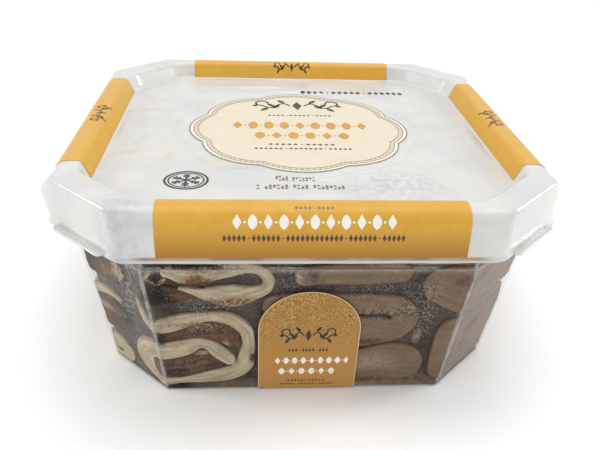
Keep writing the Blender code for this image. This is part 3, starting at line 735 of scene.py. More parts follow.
def band_surface(turn):
    """The surface under a printed band, u along the side and t down the profile, and the stations of t."""
    border = np.array([(half, height) for half, _, _, height in lid_sections(LID_SHOULDER_ROUND)
                       if half > PANEL_HALF and height > BAND_FOOT_Z] + [(SKIRT_HALF, BAND_FOOT_Z)])
    length = np.concatenate(([0.0], np.cumsum(np.linalg.norm(np.diff(border, axis=0), axis=1))))
    cos, sin = math.cos(math.radians(turn)), math.sin(math.radians(turn))

    def surface(u, t, lift):
        out, height = (np.interp(t, length, line) for line in border.T)
        ahead = [np.interp(t + 0.2, length, line) - np.interp(t - 0.2, length, line) for line in border.T]
        size = math.hypot(*ahead) or 1.0
        out -= ahead[1] / size * lift
        height += ahead[0] / size * lift
        return (out * cos - u * sin, out * sin + u * cos, height)

    return surface, length


def panel_surface(u, t, lift):
    """The top of the lid's panel: u to the right and t to the back."""
    return (u, t, PANEL_Z + lift + float(panel_height(np.array([u]), np.array([t]))[0]))


def bead_path():
    """The middle of the embossed line round the plaque."""
    return lobed_path(-BEAD_OUT)


def marked_surface():
    """The top of the panel with the embossed line on it, for marks that cross that line."""
    path = bead_path()
    path = np.array(path + path[:1])

    def surface(u, t, lift):
        away = distance_to(np.array([[u, t]]), path)[0]
        rise = BEAD_HEIGHT * math.cos(min(2 * away / BEAD_WIDTH, 1.0) * math.pi / 2)
        return panel_surface(u, t, lift + rise)

    return surface


def wall_surface(turn):
    """The outer face of a long side of the tub: u to the right and t up along the wall."""
    lean = math.atan2(SHOULDER_HALF - BASE_HALF, SHOULDER_Z)
    cos, sin = math.cos(math.radians(turn)), math.sin(math.radians(turn))

    def surface(u, t, lift):
        y = -BASE_HALF - t * math.sin(lean) - lift * math.cos(lean)
        z = t * math.cos(lean) - lift * math.sin(lean)
        x = u + ARCH_SIDE
        return (x * cos - y * sin, x * sin + y * cos, z)

    return surface


# Half width of each mark, from -1 to 1 along it
SHAPES = {
    "lozenge": lambda t: 1.0 - abs(t) * 0.999,
    "disc": lambda t: math.sqrt(max(1.0 - t * t, 1e-4)),
    "leaf": lambda t: math.cos(t * math.pi / 2 * 0.99) ** 0.7,
}


class Ink:
    """Collects flat marks that lie on one surface."""

    def __init__(self, surface, lift):
        self.surface, self.lift = surface, lift
        self.verts, self.faces = [], []

    def grid(self, rows, heights=None):
        """Rows of points become faces; heights adds a lift to each column."""
        start, width = len(self.verts), len(rows[0])
        heights = heights or [0.0] * width
        for row in rows:
            self.verts += [self.surface(u, t, self.lift + height) for (u, t), height in zip(row, heights)]
        for r in range(len(rows) - 1):
            for c in range(width - 1):
                a = start + r * width + c
                self.faces.append((a, a + 1, a + width + 1, a + width))

    def spot(self, u, t, half_u, half_t, shape, turn=0.0):
        """A small filled shape."""
        count_t, count_u = max(6, int(half_t * 3)), max(2, int(half_u * 2))
        cos, sin = math.cos(turn), math.sin(turn)
        rows = []
        for a in np.linspace(-1, 1, count_t + 1):
            reach = half_u * SHAPES[shape](a)
            dt = a * half_t
            rows.append([(u + b * reach * cos - dt * sin, t + b * reach * sin + dt * cos)
                         for b in np.linspace(-1, 1, count_u + 1)])
        self.grid(rows)

    def stroke(self, path, width, closed=False, height=0.0):
        """A line of even width along a path, flat or raised to a height in its middle."""
        path = np.array(path, float)
        if closed:
            ahead = np.roll(path, -1, axis=0) - np.roll(path, 1, axis=0)
        else:
            ahead = np.gradient(path, axis=0)
        ahead /= np.linalg.norm(ahead, axis=1)[:, None]
        sides = np.stack((-ahead[:, 1], ahead[:, 0]), axis=1) * width / 2
        across = np.linspace(-1, 1, 7) if height else (-1, 1)
        rows = [[tuple(point + side * share) for share in across] for point, side in zip(path, sides)]
        if closed:
            rows.append(rows[0])
        self.grid(rows, [height * math.cos(share * math.pi / 2) for share in across] if height else None)

    def done(self, name, finish, slot):
        """The marks as one piece."""
        item = piece(name, self.verts, self.faces, finish, slot, smooth=False)
        weld(item, INK_WELD, outwards=False)
        return item


def printed_field(name, verts, faces, finish, slot):
    """A thin closed field with sharp edges."""
    item = piece(name, verts, faces, finish, slot)
    weld(item, WELD)
    item.data.set_sharp_from_angle(angle=SHARP_ANGLE)
    return item


def closed_skin(name, grid_low, grid_high, finish, slot):
    """A thin closed field between two grids of points, rows by columns."""
    rows, columns = len(grid_low), len(grid_low[0])
    verts = [point for row in grid_low + grid_high for point in row]
    over = rows * columns
    faces = []
    for r in range(rows - 1):
        for c in range(columns - 1):
            a = r * columns + c
            quad = (a, a + 1, a + columns + 1, a + columns)
            faces += [quad[::-1], tuple(over + i for i in quad)]
    rim = list(range(columns)) + [r * columns + columns - 1 for r in range(1, rows)]
    rim += [(rows - 1) * columns + c for c in range(columns - 2, -1, -1)]
    rim += [r * columns for r in range(rows - 2, 0, -1)]
    faces += [(a, b, over + b, over + a) for a, b in zip(rim, rim[1:] + rim[:1])]
    return printed_field(name, verts, faces, finish, slot)


def make_bands(finish):
    """The four printed bands over the lid's border."""
    for side, turn in (("right", 0), ("back", 90), ("left", 180), ("front", 270)):
        surface, length = band_surface(turn)
        along = np.linspace(-BAND_HALF_LENGTH, BAND_HALF_LENGTH, 22)
        low, high = ([[surface(u, t, lift) for u in along] for t in length]
                     for lift in (PRINT_LIFT, PRINT_LIFT + PRINT_SKIN))
        item = closed_skin(f"band_{side}_print", low, high, finish, "orange_print")
        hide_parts(f"band_{side}")


def field_from_outline(name, surface, outline, finish, slot, centre):
    """A thin closed field inside a closed outline, as rings that shrink to its centre."""
    outline, centre = np.array(outline), np.array(centre)
    rings = [centre + (outline - centre) * t for t in np.linspace(0.02, 1.0, 12)]
    high = [np.array([surface(u, t, PRINT_LIFT + PRINT_SKIN) for u, t in ring]) for ring in rings]
    low = [np.array([surface(u, t, PRINT_LIFT) for u, t in ring]) for ring in rings[::-1]]
    return printed_field(name, *rings_to_mesh(high + low), finish, slot)


def arch_outline(inset=0.0):
    """The arched label's outline on the wall."""
    half = ARCH_HALF_WIDTH - inset
    outline = [(-half, ARCH_FOOT + inset), (half, ARCH_FOOT + inset)]
    for angle in np.linspace(0, math.pi, 41):
        outline.append((half * math.cos(angle), ARCH_SPRING + half * math.sin(angle)))
    return outline


# Finishes

PEPPER, SALT = (0.012, 0.008, 0.007), (0.36, 0.31, 0.26)
ICE_SPECULAR = 0.12                         # the ice lies against the wall and hardly shines
EDGE_LIGHT = 0.62                           # strength of the light line along the wall's edges
ICE_GRAIN, LABEL_GRAIN = 0.62, 0.60         # size of the specks of frost
STREAK_SCALE = (0.07, 0.55, 0.30)           # how fast the streaks change along, across and through a ribbon
TUB_CORNER, LID_CORNER = (58.0, 63.0), (62.0, 56.0)     # distances aside over which a cut corner's look fades
STRIP_LOW, STRIP_HIGH, STRIP_FADE = 69.6, 71.0, 0.4     # the dark strip above the lip
BAND_FADE_Z = 83.0                          # below this height the bands darken towards their foot, a painted shade
LABEL_SHADE, LABEL_FROST = (8.0, 40.0), (18.0, 40.0)    # heights over which the label's look changes

# the last colour is a painted shade that the bands darken to at their foot
BAND_SHADES, BAND_FOOT_PAINTED_SHADE = ((0.64, 0.355, 0.038), (0.61, 0.325, 0.030)), (0.36, 0.155, 0.010)

# Two shades of each ink
INKS = {
    "white_ink": ((0.86, 0.83, 0.76), (0.82, 0.79, 0.71)),
    "brown_ink": ((0.075, 0.036, 0.012), (0.10, 0.050, 0.018)),
    "line_ink": ((0.20, 0.18, 0.13), (0.26, 0.24, 0.18)),
    "dark_ink": ((0.020, 0.016, 0.014), (0.032, 0.027, 0.023)),
    "grey_ink": ((0.16, 0.14, 0.12), (0.20, 0.18, 0.15)),
    "edge_ink": ((0.66, 0.50, 0.28), (0.60, 0.44, 0.24)),
    "orange_ink": ((0.60, 0.285, 0.030), (0.55, 0.26, 0.026)),
    "cream_print": ((0.69, 0.62, 0.475), (0.66, 0.59, 0.445)),
    "pale_ink": ((0.80, 0.745, 0.605), (0.76, 0.70, 0.55)),
}

# Ice cream of each flavour: light and deep shades, then its warm, dark and pale stains, whose dark tint also
# paints shade and pale tint a highlight
ICES = {
    "cream": ((0.60, 0.515, 0.365), (0.315, 0.245, 0.165),
              ((0.17, 0.070, 0.028), (0.050, 0.026, 0.018), (0.55, 0.50, 0.42))),
    "cocoa": ((0.140, 0.070, 0.038), (0.055, 0.026, 0.016),
              ((0.185, 0.078, 0.031), (0.010, 0.005, 0.004), (0.36, 0.27, 0.19))),
    "coffee": ((0.218, 0.150, 0.103), (0.155, 0.103, 0.069),
               ((0.095, 0.046, 0.030), (0.040, 0.022, 0.019), (0.34, 0.275, 0.22))),
}


class Look:
    """The nodes of a material or of the world, with a short way to add each kind."""

    def __init__(self, owner):
        owner.use_nodes = True
        self.owner, self.tree = owner, owner.node_tree

    def put(self, target, values):
        """Sets or links the inputs of a node."""
        for key, value in values.items():
            if isinstance(value, bpy.types.NodeSocket):
                self.tree.links.new(value, target.inputs[key])
            else:
                target.inputs[key].default_value = value

    def add(self, kind, values=None, **settings):
        """The outputs of a new node with its settings, values and links."""
        made = self.tree.nodes.new("ShaderNode" + kind)
        for key, value in settings.items():
            setattr(made, key, value)
        self.put(made, values or {})
        return made.outputs

    def finished(self, values):
        """The material, with its main shader set."""
        self.put(self.tree.nodes["Principled BSDF"], values)
        return self.owner

    @cached_property
    def where(self):
        """The point of the surface in the object's own frame."""
        return self.add("TexCoord")["Object"]

    @cached_property
    def height(self):
        """The height of that point."""
        return self.add("SeparateXYZ", {"Vector": self.where})["Z"]

    @cached_property
    def aside(self):
        """The lesser of the two distances from the middle planes, which is large only on the cut corners."""
        spot = self.add("SeparateXYZ", {"Vector": self.where})
        return self.calc("MINIMUM", self.calc("ABSOLUTE", spot["X"]), self.calc("ABSOLUTE", spot["Y"]))

    def calc(self, operation, a, b=0.0, c=0.0):
        """One sum of up to three values."""
        return self.add("Math", {0: a, 1: b, 2: c}, operation=operation)[0]

    def times(self, value, *factors):
        """A value times each of the factors."""
        for factor in factors:
            value = self.calc("MULTIPLY", value, factor)
        return value

    def remap(self, value, low, high, to_low=0.0, to_high=1.0):
        """Turns the range low to high into another one, held at its ends."""
        return self.add("MapRange", {"Value": value, "From Min": low, "From Max": high,
                                     "To Min": to_low, "To Max": to_high})["Result"]

    def ramp(self, distance, start, end):
        """From 0 at start to 1 at end, both in millimetres."""
        return self.remap(distance, start * MM, end * MM)

    def grain(self, size, detail=3.0, roughness=0.55):
        """Soft noise with features of size millimetres (0 to 1)."""
        return self.add("TexNoise", {"Vector": self.where, "Scale": 1 / (size * MM), "Detail": detail,
                                     "Roughness": roughness})["Fac"]

    def clouds(self, size, detail, low, high, to_low=0.0, to_high=1.0):
        """Soft noise whose range low to high is turned into another one."""
        return self.remap(self.grain(size, detail), low, high, to_low, to_high)

    def blend(self, factor, a, b):
        """Mixes two colours."""
        a, b = (colour if isinstance(colour, bpy.types.NodeSocket) else (*colour, 1.0) for colour in (a, b))
        return self.add("Mix", {0: factor, 6: a, 7: b}, data_type="RGBA")[2]

    def bump(self, height, strength, distance):
        """A fine relief from a height (0 to 1); distance in millimetres."""
        return self.add("Bump", {"Height": height, "Strength": strength, "Distance": distance * MM})["Normal"]

    def stored(self, name, kind="Fac"):
        """What is stored at each point under a name."""
        return self.add("Attribute", attribute_name=name)[kind]

    def strengths(self, name):
        """The three strengths stored at each point under a name."""
        return self.add("SeparateColor", {"Color": self.stored(name, "Color")})

    def stained(self, colour, name, rough_edge, low, high, tints):
        """A colour under three tints, each as strong as what is stored at each point under the name."""
        spots = self.strengths(name)
        for channel, tint in zip(("Red", "Green", "Blue"), tints):
            share = self.times(spots[channel], rough_edge)
            colour = self.blend(self.remap(share, low, high), colour, tint)
        return colour

    def stipple(self, size):
        """Salt and pepper: how much a speck covers, and how pale it is. It is coarser on the cut corners."""
        fine = self.grain(size, 1.0, 0.5)
        other = self.grain(size * 1.7, 2.0, 0.6)
        both = self.calc("MULTIPLY_ADD", other, 0.35, self.times(fine, 0.65))
        coarse = self.grain(size * 2.6, 1.0, 0.5)
        corner = self.ramp(self.aside, *TUB_CORNER)
        both = self.calc("MULTIPLY_ADD", self.calc("SUBTRACT", coarse, both), corner, both)
        away = self.calc("ABSOLUTE", self.calc("SUBTRACT", both, 0.5))
        return self.remap(away, 0.010, 0.055), self.remap(both, 0.47, 0.53)

    def frosted(self, colour, least, most=0.85):
        """Salt-and-pepper frost over a colour, as thick as the stored clouds but no thinner than least."""
        cover, pale = self.stipple(ICE_GRAIN)
        cloud = self.times(self.stored("frost"), self.clouds(5.0, 2.0, 0.30, 0.55, 0.3, 1.0))
        mask = self.times(cover, self.calc("MAXIMUM", cloud, least))
        return self.blend(self.times(mask, most), colour, self.blend(pale, PEPPER, SALT))


def new_look(name):
    """A new material, ready for its nodes."""
    return Look(bpy.data.materials.new(name))


def clear_plastic():
    """Clear wall with light along its edges, which mirrors little face on and much at a glance."""
    look = new_look("clear_plastic")
    facing = look.add("LayerWeight", {"Blend": 0.5})["Facing"]
    glance = look.calc("MULTIPLY_ADD", look.calc("POWER", facing, 5.0), 0.52, 0.004)
    see_through = look.add("BsdfTransparent", {"Color": (0.97, 0.97, 0.96, 1.0)})[0]
    gloss = look.add("BsdfGlossy", {"Roughness": 0.06, "Color": (1.0, 1.0, 1.0, 1.0),
                                    "Normal": look.bump(look.grain(5.0, 2.0), 0.10, 0.4)})[0]
    wall = look.add("MixShader", {0: glance, 1: see_through, 2: gloss})[0]
    edge = look.times(look.stored("glow"), look.clouds(3.0, 3.0, 0.35, 0.65, 0.45, 1.0), EDGE_LIGHT)
    bright = look.tree.nodes["Principled BSDF"].outputs[0]
    both = look.add("MixShader", {0: edge, 1: wall, 2: bright})[0]
    look.put(look.tree.nodes["Material Output"], {"Surface": both})
    return look.finished({"Base Color": (0.62, 0.59, 0.54, 1.0), "Roughness": 0.35})


def milky_plastic():
    """Milky plastic with clouds, warm and grey patches (the grey one on the front left cut corner a painted
    reflection), frost and a dark strip above the lip.
    """
    look = new_look("milky_plastic")
    patch = look.strengths("patch")
    colour = look.blend(look.clouds(22.0, 3.0, 0.42, 0.62), (0.670, 0.665, 0.645), (0.605, 0.610, 0.605))
    colour = look.blend(look.clouds(13.0, 2.0, 0.58, 0.70, 0.0, 0.45), colour, (0.72, 0.64, 0.49))
    rough = look.clouds(4.0, 3.0, 0.30, 0.66)
    # the grey tint also paints a bluish reflection on the front left cut corner
    for channel, tint in (("Red", (0.76, 0.62, 0.40)), ("Green", (0.42, 0.45, 0.50))):
        colour = look.blend(look.times(patch[channel], rough, 0.95), colour, tint)
    crystals = look.add("TexVoronoi", {"Vector": look.where, "Scale": 1 / (2.6 * MM)})["Distance"]
    shade = look.remap(crystals, 0.15, 0.75)
    frost = look.times(patch["Blue"], rough, 0.7)
    colour = look.blend(frost, colour, look.blend(shade, (0.80, 0.80, 0.79), (0.43, 0.43, 0.44)))
    strip = look.times(look.ramp(look.aside, *LID_CORNER),
                       look.ramp(look.height, STRIP_HIGH, STRIP_HIGH - STRIP_FADE),
                       look.ramp(look.height, STRIP_LOW, STRIP_LOW + STRIP_FADE))
    clouded = look.blend(look.clouds(12.0, 2.0, 0.4, 0.6), (0.27, 0.19, 0.095), (0.44, 0.34, 0.20))
    relief = look.calc("ADD", look.grain(6.0), look.times(frost, shade))
    return look.finished({"Base Color": look.blend(strip, colour, clouded),
                          "Normal": look.bump(relief, 0.22, 0.5), "Roughness": 0.24,
                          "Coat Weight": 0.5, "Coat Roughness": 0.08, "Alpha": 0.93})


def print_finish(name, colour, other, roughness=0.35, foot=None):
    """Printed ink: its colour wanders a little, with a fine tooth, and may darken down the skirt to foot, a
    painted shade.
    """
    look = new_look(name)
    base = look.blend(look.clouds(6.0, 4.0, 0.35, 0.65), colour, other)
    if foot:
        # painted shade: the band darkens towards its foot
        base = look.blend(look.ramp(look.height, BAND_FADE_Z, BAND_FOOT_Z), base, foot)
    return look.finished({"Base Color": base, "Normal": look.bump(look.grain(0.5, 2.0), 0.12, 0.05),
                          "Roughness": roughness, "Specular IOR Level": 0.3, "Coat Weight": 0.15,
                          "Coat Roughness": 0.15})


def frosted_label():
    """The arched label: orange tan under a stipple of frost, thicker towards its top."""
    look = new_look("orange_label")
    base = look.blend(look.ramp(look.height, *LABEL_SHADE), (0.46, 0.235, 0.066), (0.355, 0.175, 0.028))
    cover, pale = look.stipple(LABEL_GRAIN)
    cloud = look.times(look.ramp(look.height, *LABEL_FROST), look.clouds(8.0, 2.0, 0.30, 0.55, 0.35, 1.0))
    mask = look.times(cover, cloud)
    specks = look.blend(pale, (0.25, 0.115, 0.020), (0.50, 0.345, 0.150))
    return look.finished({"Base Color": look.blend(look.times(mask, 0.72), base, specks),
                          "Normal": look.bump(mask, 0.4, 0.15), "Roughness": 0.38,
                          "Specular IOR Level": 0.25})


def ice_finish(flavour, light, deep, stains):
    """Ice cream: streaks along the ribbon, stains with some painted shade and a painted highlight, and fine
    ice crystals.
    """
    look = new_look(f"{flavour}_ice")
    flow = look.add("VectorMath", {0: look.stored("flow", "Vector"), 1: STREAK_SCALE},
                    operation="MULTIPLY")[0]
    streak = look.add("TexNoise", {"Vector": flow, "Scale": 1.0, "Detail": 4.0, "Roughness": 0.6})["Fac"]
    colour = look.blend(look.remap(streak, 0.36, 0.66), light, deep)
    colour = look.blend(look.clouds(8.0, 3.0, 0.40, 0.70, 0.0, 0.5), colour, deep)
    # stains, with painted shade and a painted highlight among them
    colour = look.stained(colour, "stain_and_painted_light", look.clouds(1.4, 3.0, 0.3, 0.7, 0.45, 1.55), 0.14, 0.80, stains)
    colour = look.frosted(colour, look.clouds(6.0, 2.0, 0.42, 0.66, 0.04, 0.22))
    relief = look.calc("ADD", look.grain(1.2, 4.0), look.times(streak, 1.5))
    return look.finished({"Base Color": colour, "Normal": look.bump(relief, 0.35, 0.3), "Roughness": 0.55,
                          "Specular IOR Level": ICE_SPECULAR})


def gap_finish():
    """Dark purple grey, partly painted shade of the deep gaps, with cream and tan tints, a dark tint of
    painted shade, and a stipple of frost.
    """
    look = new_look("frozen_gap_and_shade")
    # painted shade: the dark purple grey of the deep gaps between the ribbons, with the frosty ice's own tone
    colour = look.blend(look.clouds(7.0, 3.0, 0.35, 0.65), (0.044, 0.032, 0.029), (0.086, 0.063, 0.053))
    # the last tint is painted shade
    tints = ((0.40, 0.33, 0.23), (0.24, 0.17, 0.11), (0.020, 0.010, 0.007))
    colour = look.stained(colour, "shade", look.clouds(1.8, 3.0, 0.3, 0.7, 0.6, 1.4), 0.10, 0.75, tints)
    colour = look.frosted(colour, look.clouds(8.0, 3.0, 0.40, 0.6, 0.05, 0.40), 0.60)
    return look.finished({"Base Color": colour, "Normal": look.bump(look.grain(1.0), 0.4, 0.3),
                          "Roughness": 0.6, "Specular IOR Level": ICE_SPECULAR})


# Print layout

# The larger marks of the plaque's and the labels' two main rows
LONG_CHAIN = ("lozenge", "leaf", "disc", "leaf") * 2 + ("lozenge",)
SHORT_CHAIN = ("leaf", "lozenge", "disc", "disc", "lozenge", "leaf")
BAND_MARK_AT = {"right": 9.6, "back": 6.2, "left": 9.6}    # how far down the border each band's ornament lies


def marks_row(ink, u_low, u_high, t, half_t, pattern):
    """A row of marks along u: the pattern gives each mark's shape and its share of the width."""
    total = sum(share for _, share in pattern)
    at = u_low
    for shape, share in pattern:
        width = (u_high - u_low) * share / total
        if shape == "dot":
            ink.spot(at + width / 2, t, width / 2, width / 2, "disc")
        elif shape != "gap":
            ink.spot(at + width / 2, t, width / 2, half_t, shape)
        at += width


def chain(shapes):
    """Large marks with a dot between each two."""
    pattern = []
    for shape in shapes:
        pattern += [(shape, 3.0), ("gap", 0.5), ("dot", 0.8), ("gap", 0.5)]
    return pattern[:-3]


def beads(*groups):
    """Slim lozenges in groups, with a dot between each two groups."""
    pattern = []
    for count in groups:
        pattern += [("lozenge", 1.0), ("gap", 0.22)] * count + [("gap", 0.3), ("dot", 0.45), ("gap", 0.5)]
    return pattern[:-4]


def rows_of_marks(name, surface, finish, slot, *rows, lift=INK_TOP):
    """One piece of several rows of marks."""
    ink = Ink(surface, lift)
    for row in rows:
        marks_row(ink, *row)
    ink.done(name, finish, slot)


def circle(u, t, radius, steps=40):
    """Points round a circle."""
    angles = 2 * math.pi * np.arange(steps) / steps
    return [(u + radius * math.cos(angle), t + radius * math.sin(angle)) for angle in angles]


def sprig(ink, u, t, half, height, width):
    """A scroll ornament: a lozenge, and on each side a winding stem with leaves and a curled end."""
    ink.spot(u, t, height * 0.16, height * 0.42, "lozenge")
    for side in (-1, 1):
        stem = [(u + side * half * (0.16 + 0.62 * s), t + 0.22 * height * math.sin(math.pi * 2 * s))
                for s in np.linspace(0, 1, 22)]
        ink.stroke(stem, width)
        curl = 0.26 * height
        curl_u, curl_t = stem[-1][0], stem[-1][1] + curl
        spiral = zip(np.linspace(-0.5, 1.05, 26) * math.pi, np.linspace(1.0, 0.65, 26) * curl)
        ink.stroke([(curl_u + side * reach * math.cos(angle), curl_t + reach * math.sin(angle))
                    for angle, reach in spiral], width)
        for k, share in enumerate((0.22, 0.42, 0.62, 0.84)):
            stem_u, stem_t = stem[round(share * 21)]
            way = 1 if k % 2 == 0 else -1
            ink.spot(stem_u + side * 0.05 * half, stem_t + way * height * 0.20, height * 0.085, height * 0.20,
                     "leaf", -side * way * 0.6)
        ink.spot(u + side * half * 0.95, t, height * 0.09, height * 0.09, "disc")


def snow_star(ink, u, t, reach, width):
    """Six arms with two pairs of small branches each, inside two rings."""
    centre = np.array((u, t))
    for arm in range(6):
        angle = math.pi / 3 * arm + math.pi / 6
        along = np.array((math.cos(angle), math.sin(angle)))
        across = np.array((-along[1], along[0]))
        ink.stroke([centre + along * reach * s for s in (0.03, 0.35, 0.68)], width)
        for out in (0.28, 0.46):
            for side in (-1, 1):
                root = centre + along * reach * out
                ink.stroke([root, root + (along * 0.16 + across * side * 0.15) * reach], width * 0.8)
    ink.stroke(circle(u, t, reach * 0.96), reach * 0.10, closed=True)
    ink.stroke(circle(u, t, reach * 0.79), width * 0.7, closed=True)


def dot_code(ink, u_low, u_high, t, height, groups):
    """A row of small dots stamped in groups, three rows high."""
    columns = sum(groups) + len(groups) - 1
    step = (u_high - u_low) / columns
    at = 0
    for group in groups:
        for column in range(group):
            for row in range(3):
                if (column * 5 + row * 3 + group) % 4:
                    ink.spot(u_low + (at + column + 0.5) * step, t + (row - 1) * height * 0.36, step * 0.36,
                             height * 0.15, "disc")
        at += group + 1


def print_bands(inks):
    """Marks on the four bands."""
    front, _ = band_surface(270)
    rows_of_marks("band_front_white_marks", front, inks["white_ink"], "cream_print",
                  (-27.2, 27.2, 18.6, 2.5, chain(("lozenge", "leaf") * 5 + ("lozenge",))))
    for side, turn in (("right", 0), ("back", 90), ("left", 180)):
        surface, _ = band_surface(turn)
        ink = Ink(surface, INK_TOP)
        sprig(ink, 0.0, BAND_MARK_AT[side], 10.0, 6.5, 0.8)
        ink.done(f"band_{side}_ornament", inks["brown_ink"], "orange_print")
    rows_of_marks("band_front_brown_marks", front, inks["brown_ink"], "orange_print",
                  (-30.4, 30.4, 24.3, 1.45, beads(5, 6, 12, 6, 5)))
    rows_of_marks("band_front_grey_marks", front, inks["grey_ink"], "orange_print",
                  (-6.8, 6.4, 13.6, 0.8, beads(4, 4)))


def print_plaque(inks):
    """The lobed cream field with its border lines and ornaments."""
    field = field_from_outline("plaque_print", panel_surface, lobed_path(0.0), inks["cream_print"],
                               "cream_print", (0.0, PLAQUE_SHIFT))
    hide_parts("plaque")
    ink = Ink(panel_surface, INK_TOP)
    ink.stroke(lobed_path(1.15), 1.2, closed=True)
    ink.done("plaque_pale_ring", inks["pale_ink"], "cream_print")
    ink = Ink(panel_surface, INK_TOP + INK_LIFT)
    for inset, width in ((0.25, 0.55), (2.0, 0.34), (3.9, 0.30)):
        ink.stroke(lobed_path(inset), width, closed=True)
    for u, t in lobed_path(2.95, 15):
        ink.spot(u, t, 0.30, 0.30, "disc")
    ink.done("plaque_lines", inks["line_ink"], "cream_print")
    ink = Ink(panel_surface, INK_TOP)
    sprig(ink, 0.6, 34.6, 21.5, 14.5, 1.05)
    marks_row(ink, -13.8, 16.2, 20.6, 0.95, beads(4, 5, 4))
    ink.done("plaque_dark_ornament", inks["dark_ink"], "cream_print")
    rows_of_marks("plaque_orange_marks", panel_surface, inks["orange_ink"], "orange_print",
                  (-30.0, 31.0, 7.0, 4.6, chain(LONG_CHAIN)), (-20.0, 21.6, -5.6, 4.0, chain(SHORT_CHAIN)))
    rows_of_marks("plaque_brown_marks", panel_surface, inks["brown_ink"], "cream_print",
                  (-14.2, 14.4, -16.2, 1.0, beads(5, 5)), (-20.2, 21.2, -21.0, 1.0, beads(6, 7, 5)))


def print_panel(milky, inks):
    """The embossed line round the plaque, the ringed snow star, the stamped dots and the line at the back."""
    bead = Ink(panel_surface, -0.02)
    bead.stroke(bead_path(), BEAD_WIDTH, closed=True, height=BEAD_HEIGHT)
    bead = bead.done("panel_bead", milky, "milky_plastic")
    bead.data.shade_smooth()
    colour_points(bead, "patch", LID_PATCHES, up=True)
    surface = marked_surface()
    ink = Ink(surface, MARK_LIFT)
    snow_star(ink, -45.6, -53.2, 8.4, 0.75)
    marks_row(ink, 3.5, 57.0, 57.0, 2.2, beads(4, 5, 6))
    ink.done("panel_dark_marks", inks["dark_ink"], "milky_plastic")
    ink = Ink(surface, MARK_LIFT)
    dot_code(ink, -12.2, 3.2, -51.6, 3.6, (4, 7))
    dot_code(ink, -19.4, 14.0, -58.8, 3.6, (1, 6, 4, 8))
    ink.done("panel_stamped_dots", inks["grey_ink"], "milky_plastic")


def print_labels(field, inks):
    """The arched labels on the front and the back of the tub, with their marks."""
    for side, turn in (("front", 0), ("back", 180)):
        surface = wall_surface(turn)
        item = field_from_outline(f"label_{side}_print", surface, arch_outline(), field, "orange_print",
                                  (0.0, ARCH_SPRING * 0.8))
        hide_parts(f"label_{side}")
        ink = Ink(surface, INK_TOP)
        outline = arch_outline(0.18)
        ink.stroke(outline[1:] + outline[:1], 0.36)
        ink.done(f"label_{side}_edge", inks["edge_ink"], "orange_print")
        ink = Ink(surface, INK_TOP)
        sprig(ink, -0.3, 30.3, 10.8, 7.6, 0.62)
        ink.done(f"label_{side}_ornament", inks["dark_ink"], "orange_print")
        rows_of_marks(f"label_{side}_white_marks", surface, inks["white_ink"], "cream_print",
                      (-12.8, 16.0, 16.6, 1.9, chain(LONG_CHAIN)),
                      (-11.3, 10.7, 10.6, 1.9, chain(SHORT_CHAIN)))
        rows_of_marks(f"label_{side}_brown_marks", surface, inks["brown_ink"], "orange_print",
                      (-7.8, 7.6, 22.4, 1.1, beads(3, 4, 3)), (-7.8, 7.2, 5.2, 0.55, beads(5, 5)),
                      (-10.8, 10.2, 3.2, 0.55, beads(6, 7, 5)))


# Stage

PHOTO_WIDTH, PHOTO_HEIGHT = 600, 450
PHOTO_CENTRE = (308.086, 230.447)           # the pixel on the camera's axis
FOCAL_PIXELS = 698.241
CAMERA_SCALE = 0.905
CAMERA_AT = (-21.457, -325.731, 210.76)     # before the scale
CAMERA_YAW, CAMERA_PITCH, CAMERA_ROLL = -0.085, -0.498, 0.042
SENSOR_WIDTH = 36.0
FLOOR_SIZE = 8.0                            # metres
WORLD_LOW, WORLD_HIGH = 0.70, 0.98          # the surround's strength at the horizon and overhead

# Soft lamps: name, place, height of the point on the axis that it looks at, size in metres and power
LAMPS = (
    ("top", (0, 150, 900), 40, 0.7, 2.1),
    ("front", (-300, -800, 420), 40, 0.6, 0.6),
    ("left", (-878, 27, 481), 60, 0.2, 2.3),
    ("right", (850, 150, 380), 60, 0.3, 3.0),
)


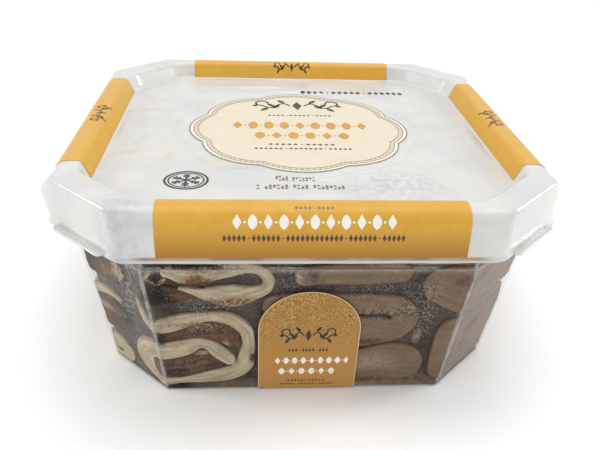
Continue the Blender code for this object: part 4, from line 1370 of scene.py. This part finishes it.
def make_camera():
    """The photograph's point of view."""
    yaw, pitch, roll = CAMERA_YAW, CAMERA_PITCH, CAMERA_ROLL
    ahead = Vector((-math.sin(yaw) * math.cos(pitch), math.cos(yaw) * math.cos(pitch), math.sin(pitch)))
    right = Vector((math.cos(yaw), math.sin(yaw), 0.0))
    up = right.cross(ahead)
    turned_right = math.cos(roll) * right + math.sin(roll) * up
    turned_up = -math.sin(roll) * right + math.cos(roll) * up
    matrix = Matrix((turned_right, turned_up, -ahead)).transposed().to_4x4()
    matrix.translation = Vector(CAMERA_AT) * CAMERA_SCALE * MM
    data = bpy.data.cameras.new("camera")
    camera = bpy.data.objects.new("camera", data)
    bpy.context.scene.collection.objects.link(camera)
    camera.matrix_world = matrix
    data.sensor_width = SENSOR_WIDTH
    data.lens = FOCAL_PIXELS * SENSOR_WIDTH / PHOTO_WIDTH
    data.shift_x = (PHOTO_WIDTH / 2 - PHOTO_CENTRE[0]) / PHOTO_WIDTH
    data.shift_y = (PHOTO_CENTRE[1] - PHOTO_HEIGHT / 2) / PHOTO_WIDTH
    data.clip_start = 0.01
    bpy.context.scene.camera = camera


def make_light(name, at, aim_height, size, power):
    """A soft square lamp that looks at a point on the tub's axis."""
    data = bpy.data.lights.new(name, "AREA")
    data.size, data.energy = size, power
    lamp = bpy.data.objects.new(name, data)
    bpy.context.scene.collection.objects.link(lamp)
    lamp.location = Vector(at) * MM
    lamp.rotation_mode = "QUATERNION"
    lamp.rotation_quaternion = (Vector((0, 0, aim_height)) - Vector(at)).to_track_quat("-Z", "Y")


def make_stage():
    """A pale floor, a white surround and soft lamps."""
    bpy.ops.mesh.primitive_plane_add(size=FLOOR_SIZE)
    floor = bpy.context.object
    floor.name = "floor"
    floor.data.materials.append(new_look("floor").finished({"Base Color": (0.96, 0.96, 0.955, 1.0),
                                                            "Roughness": 0.7}))
    look = Look(bpy.data.worlds.new("surround"))
    rise = look.add("SeparateXYZ", {"Vector": look.add("TexCoord")["Generated"]})["Z"]
    look.put(look.tree.nodes["Background"], {"Strength": look.remap(rise, 0.0, 1.0, WORLD_LOW, WORLD_HIGH),
                                             "Color": (1.0, 1.0, 1.0, 1.0)})
    bpy.context.scene.world = look.owner
    for lamp in LAMPS:
        make_light(*lamp)
    bpy.context.scene.view_settings.view_transform = "Standard"


def main():
    """Builds every piece and the stage."""
    make_camera()
    milky = milky_plastic()
    make_lid(milky)
    make_tabs(milky)
    make_tub(clear_plastic())
    make_ribbons({flavour: ice_finish(flavour, *colours) for flavour, colours in ICES.items()})
    make_gap_mass(gap_finish())
    make_bands(print_finish("orange_print", *BAND_SHADES, 0.30, BAND_FOOT_PAINTED_SHADE))
    inks = {name: print_finish(name, *colours) for name, colours in INKS.items()}
    print_bands(inks)
    print_plaque(inks)
    print_panel(milky, inks)
    print_labels(frosted_label(), inks)
    make_stage()


main()
